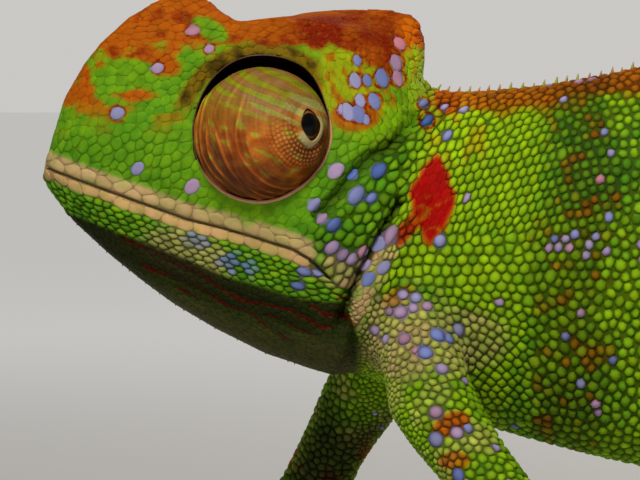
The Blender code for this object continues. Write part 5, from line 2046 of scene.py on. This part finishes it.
class CHAMELEON_OT_stage(Operator):
    """Adds the floor, the lights and the camera"""
    bl_idname = "chameleon.stage"
    bl_label = "Stage"

    def execute(self, context):
        scene = context.scene
        stage = scene.chameleon_stage
        target = EYES + AIM
        self.add_floor(stage)
        for name, place, size, share, colour in LIGHTS:
            area_light(name, target + Vector(place), target, size, stage.key * share, colour)
        scene.world = self.sky()
        lens = bpy.data.cameras.new("camera")
        lens.lens, lens.sensor_width, lens.clip_start = LENS, SENSOR, 0.01
        camera = bpy.data.objects.new("camera", lens)
        distance = VIEW_WIDTH * LENS / SENSOR
        camera.location = target + Vector((0, -math.cos(ELEVATION), math.sin(ELEVATION))) * distance
        camera.rotation_euler = (camera.location - target).to_track_quat("Z", "Y").to_euler()
        scene.collection.objects.link(camera)
        scene.camera = camera
        scene.view_settings.view_transform = "Standard"
        return {"FINISHED"}

    @staticmethod
    def sky():
        """Soft light from all round; the camera sees it in the floor's far tone."""
        world = bpy.data.worlds.new("studio")
        world.use_nodes = True
        tree = world.node_tree
        soft = tree.nodes["Background"]
        soft.inputs[0].default_value = rgba(SKY)
        soft.inputs[1].default_value = SKY_STRENGTH
        seen = node(tree, "ShaderNodeBackground", {}, {0: rgba(HORIZON_SEEN)})
        ray = node(tree, "ShaderNodeLightPath", {}, {}, "Is Camera Ray")
        mix = node(tree, "ShaderNodeMixShader", {}, {0: ray, 1: Wire(tree, soft.outputs[0]), 2: seen})
        tree.links.new(mix.socket, tree.nodes["World Output"].inputs[0])
        return world

    @staticmethod
    def add_floor(stage):
        """A wide round floor; away from the animal it glows a little, so that it meets the sky evenly."""
        turn = [2 * math.pi * k / FLOOR_SIDES for k in range(FLOOR_SIDES)]
        verts = [(FLOOR_RADIUS * math.cos(a), FLOOR_RADIUS * math.sin(a), 0.0) for a in turn]
        floor = bpy.data.objects.new("floor", mesh_of("floor", verts, [list(range(FLOOR_SIDES))]))
        bpy.context.scene.collection.objects.link(floor)
        material, tree, shader = start_material("floor")
        cloud = noise(tree, 6.0, 2.0)
        shade = blend(tree, cloud, tuple(c * 0.97 for c in stage.floor), stage.floor)
        place = node(tree, "ShaderNodeTexCoord", {}, {}, "Object")
        away = node(tree, "ShaderNodeVectorMath", {"operation": "LENGTH"}, {0: place}, "Value")
        far = away.between(0.12, 0.60)
        plug(tree, shader, Base_Color=blend(tree, far * 0.85, shade, BLACK), Roughness=0.8,
             Emission_Color=blend(tree, far, BLACK, HORIZON), Emission_Strength=1.0)
        floor.data.materials.append(material)


class CHAMELEON_PT_panel(Panel):
    """Lists the steps in their order"""
    bl_idname = "CHAMELEON_PT_panel"
    bl_label = "Chameleon"
    bl_space_type = "VIEW_3D"
    bl_region_type = "UI"
    bl_category = "Chameleon"

    def draw(self, context):
        for step in STEPS:
            self.layout.operator(step.bl_idname)
        for name in GROUPS_OF_SETTINGS:
            group, box = getattr(context.scene, name), self.layout.box()
            for key in group.__annotations__:
                box.prop(group, key)


GROUPS_OF_SETTINGS = {
    "chameleon_skin": SkinSettings,
    "chameleon_coat": CoatSettings,
    "chameleon_colours": ColourSettings,
    "chameleon_stage": StageSettings,
}
STEPS = (CHAMELEON_OT_skin, CHAMELEON_OT_coat, CHAMELEON_OT_eyes, CHAMELEON_OT_crests,
         CHAMELEON_OT_claws, CHAMELEON_OT_stage)
CLASSES = (*GROUPS_OF_SETTINGS.values(), *STEPS, CHAMELEON_PT_panel)


def register():
    for cls in CLASSES:
        bpy.utils.register_class(cls)
    for name, group in GROUPS_OF_SETTINGS.items():
        setattr(bpy.types.Scene, name, PointerProperty(type=group))


def unregister():
    for name in GROUPS_OF_SETTINGS:
        delattr(bpy.types.Scene, name)
    for cls in reversed(CLASSES):
        bpy.utils.unregister_class(cls)


def main():
    register()
    bpy.ops.chameleon.skin()
    bpy.ops.chameleon.coat()
    bpy.ops.chameleon.eyes()
    bpy.ops.chameleon.crests()
    bpy.ops.chameleon.claws()
    bpy.ops.chameleon.stage()


if __name__ == "__main__":
    main()
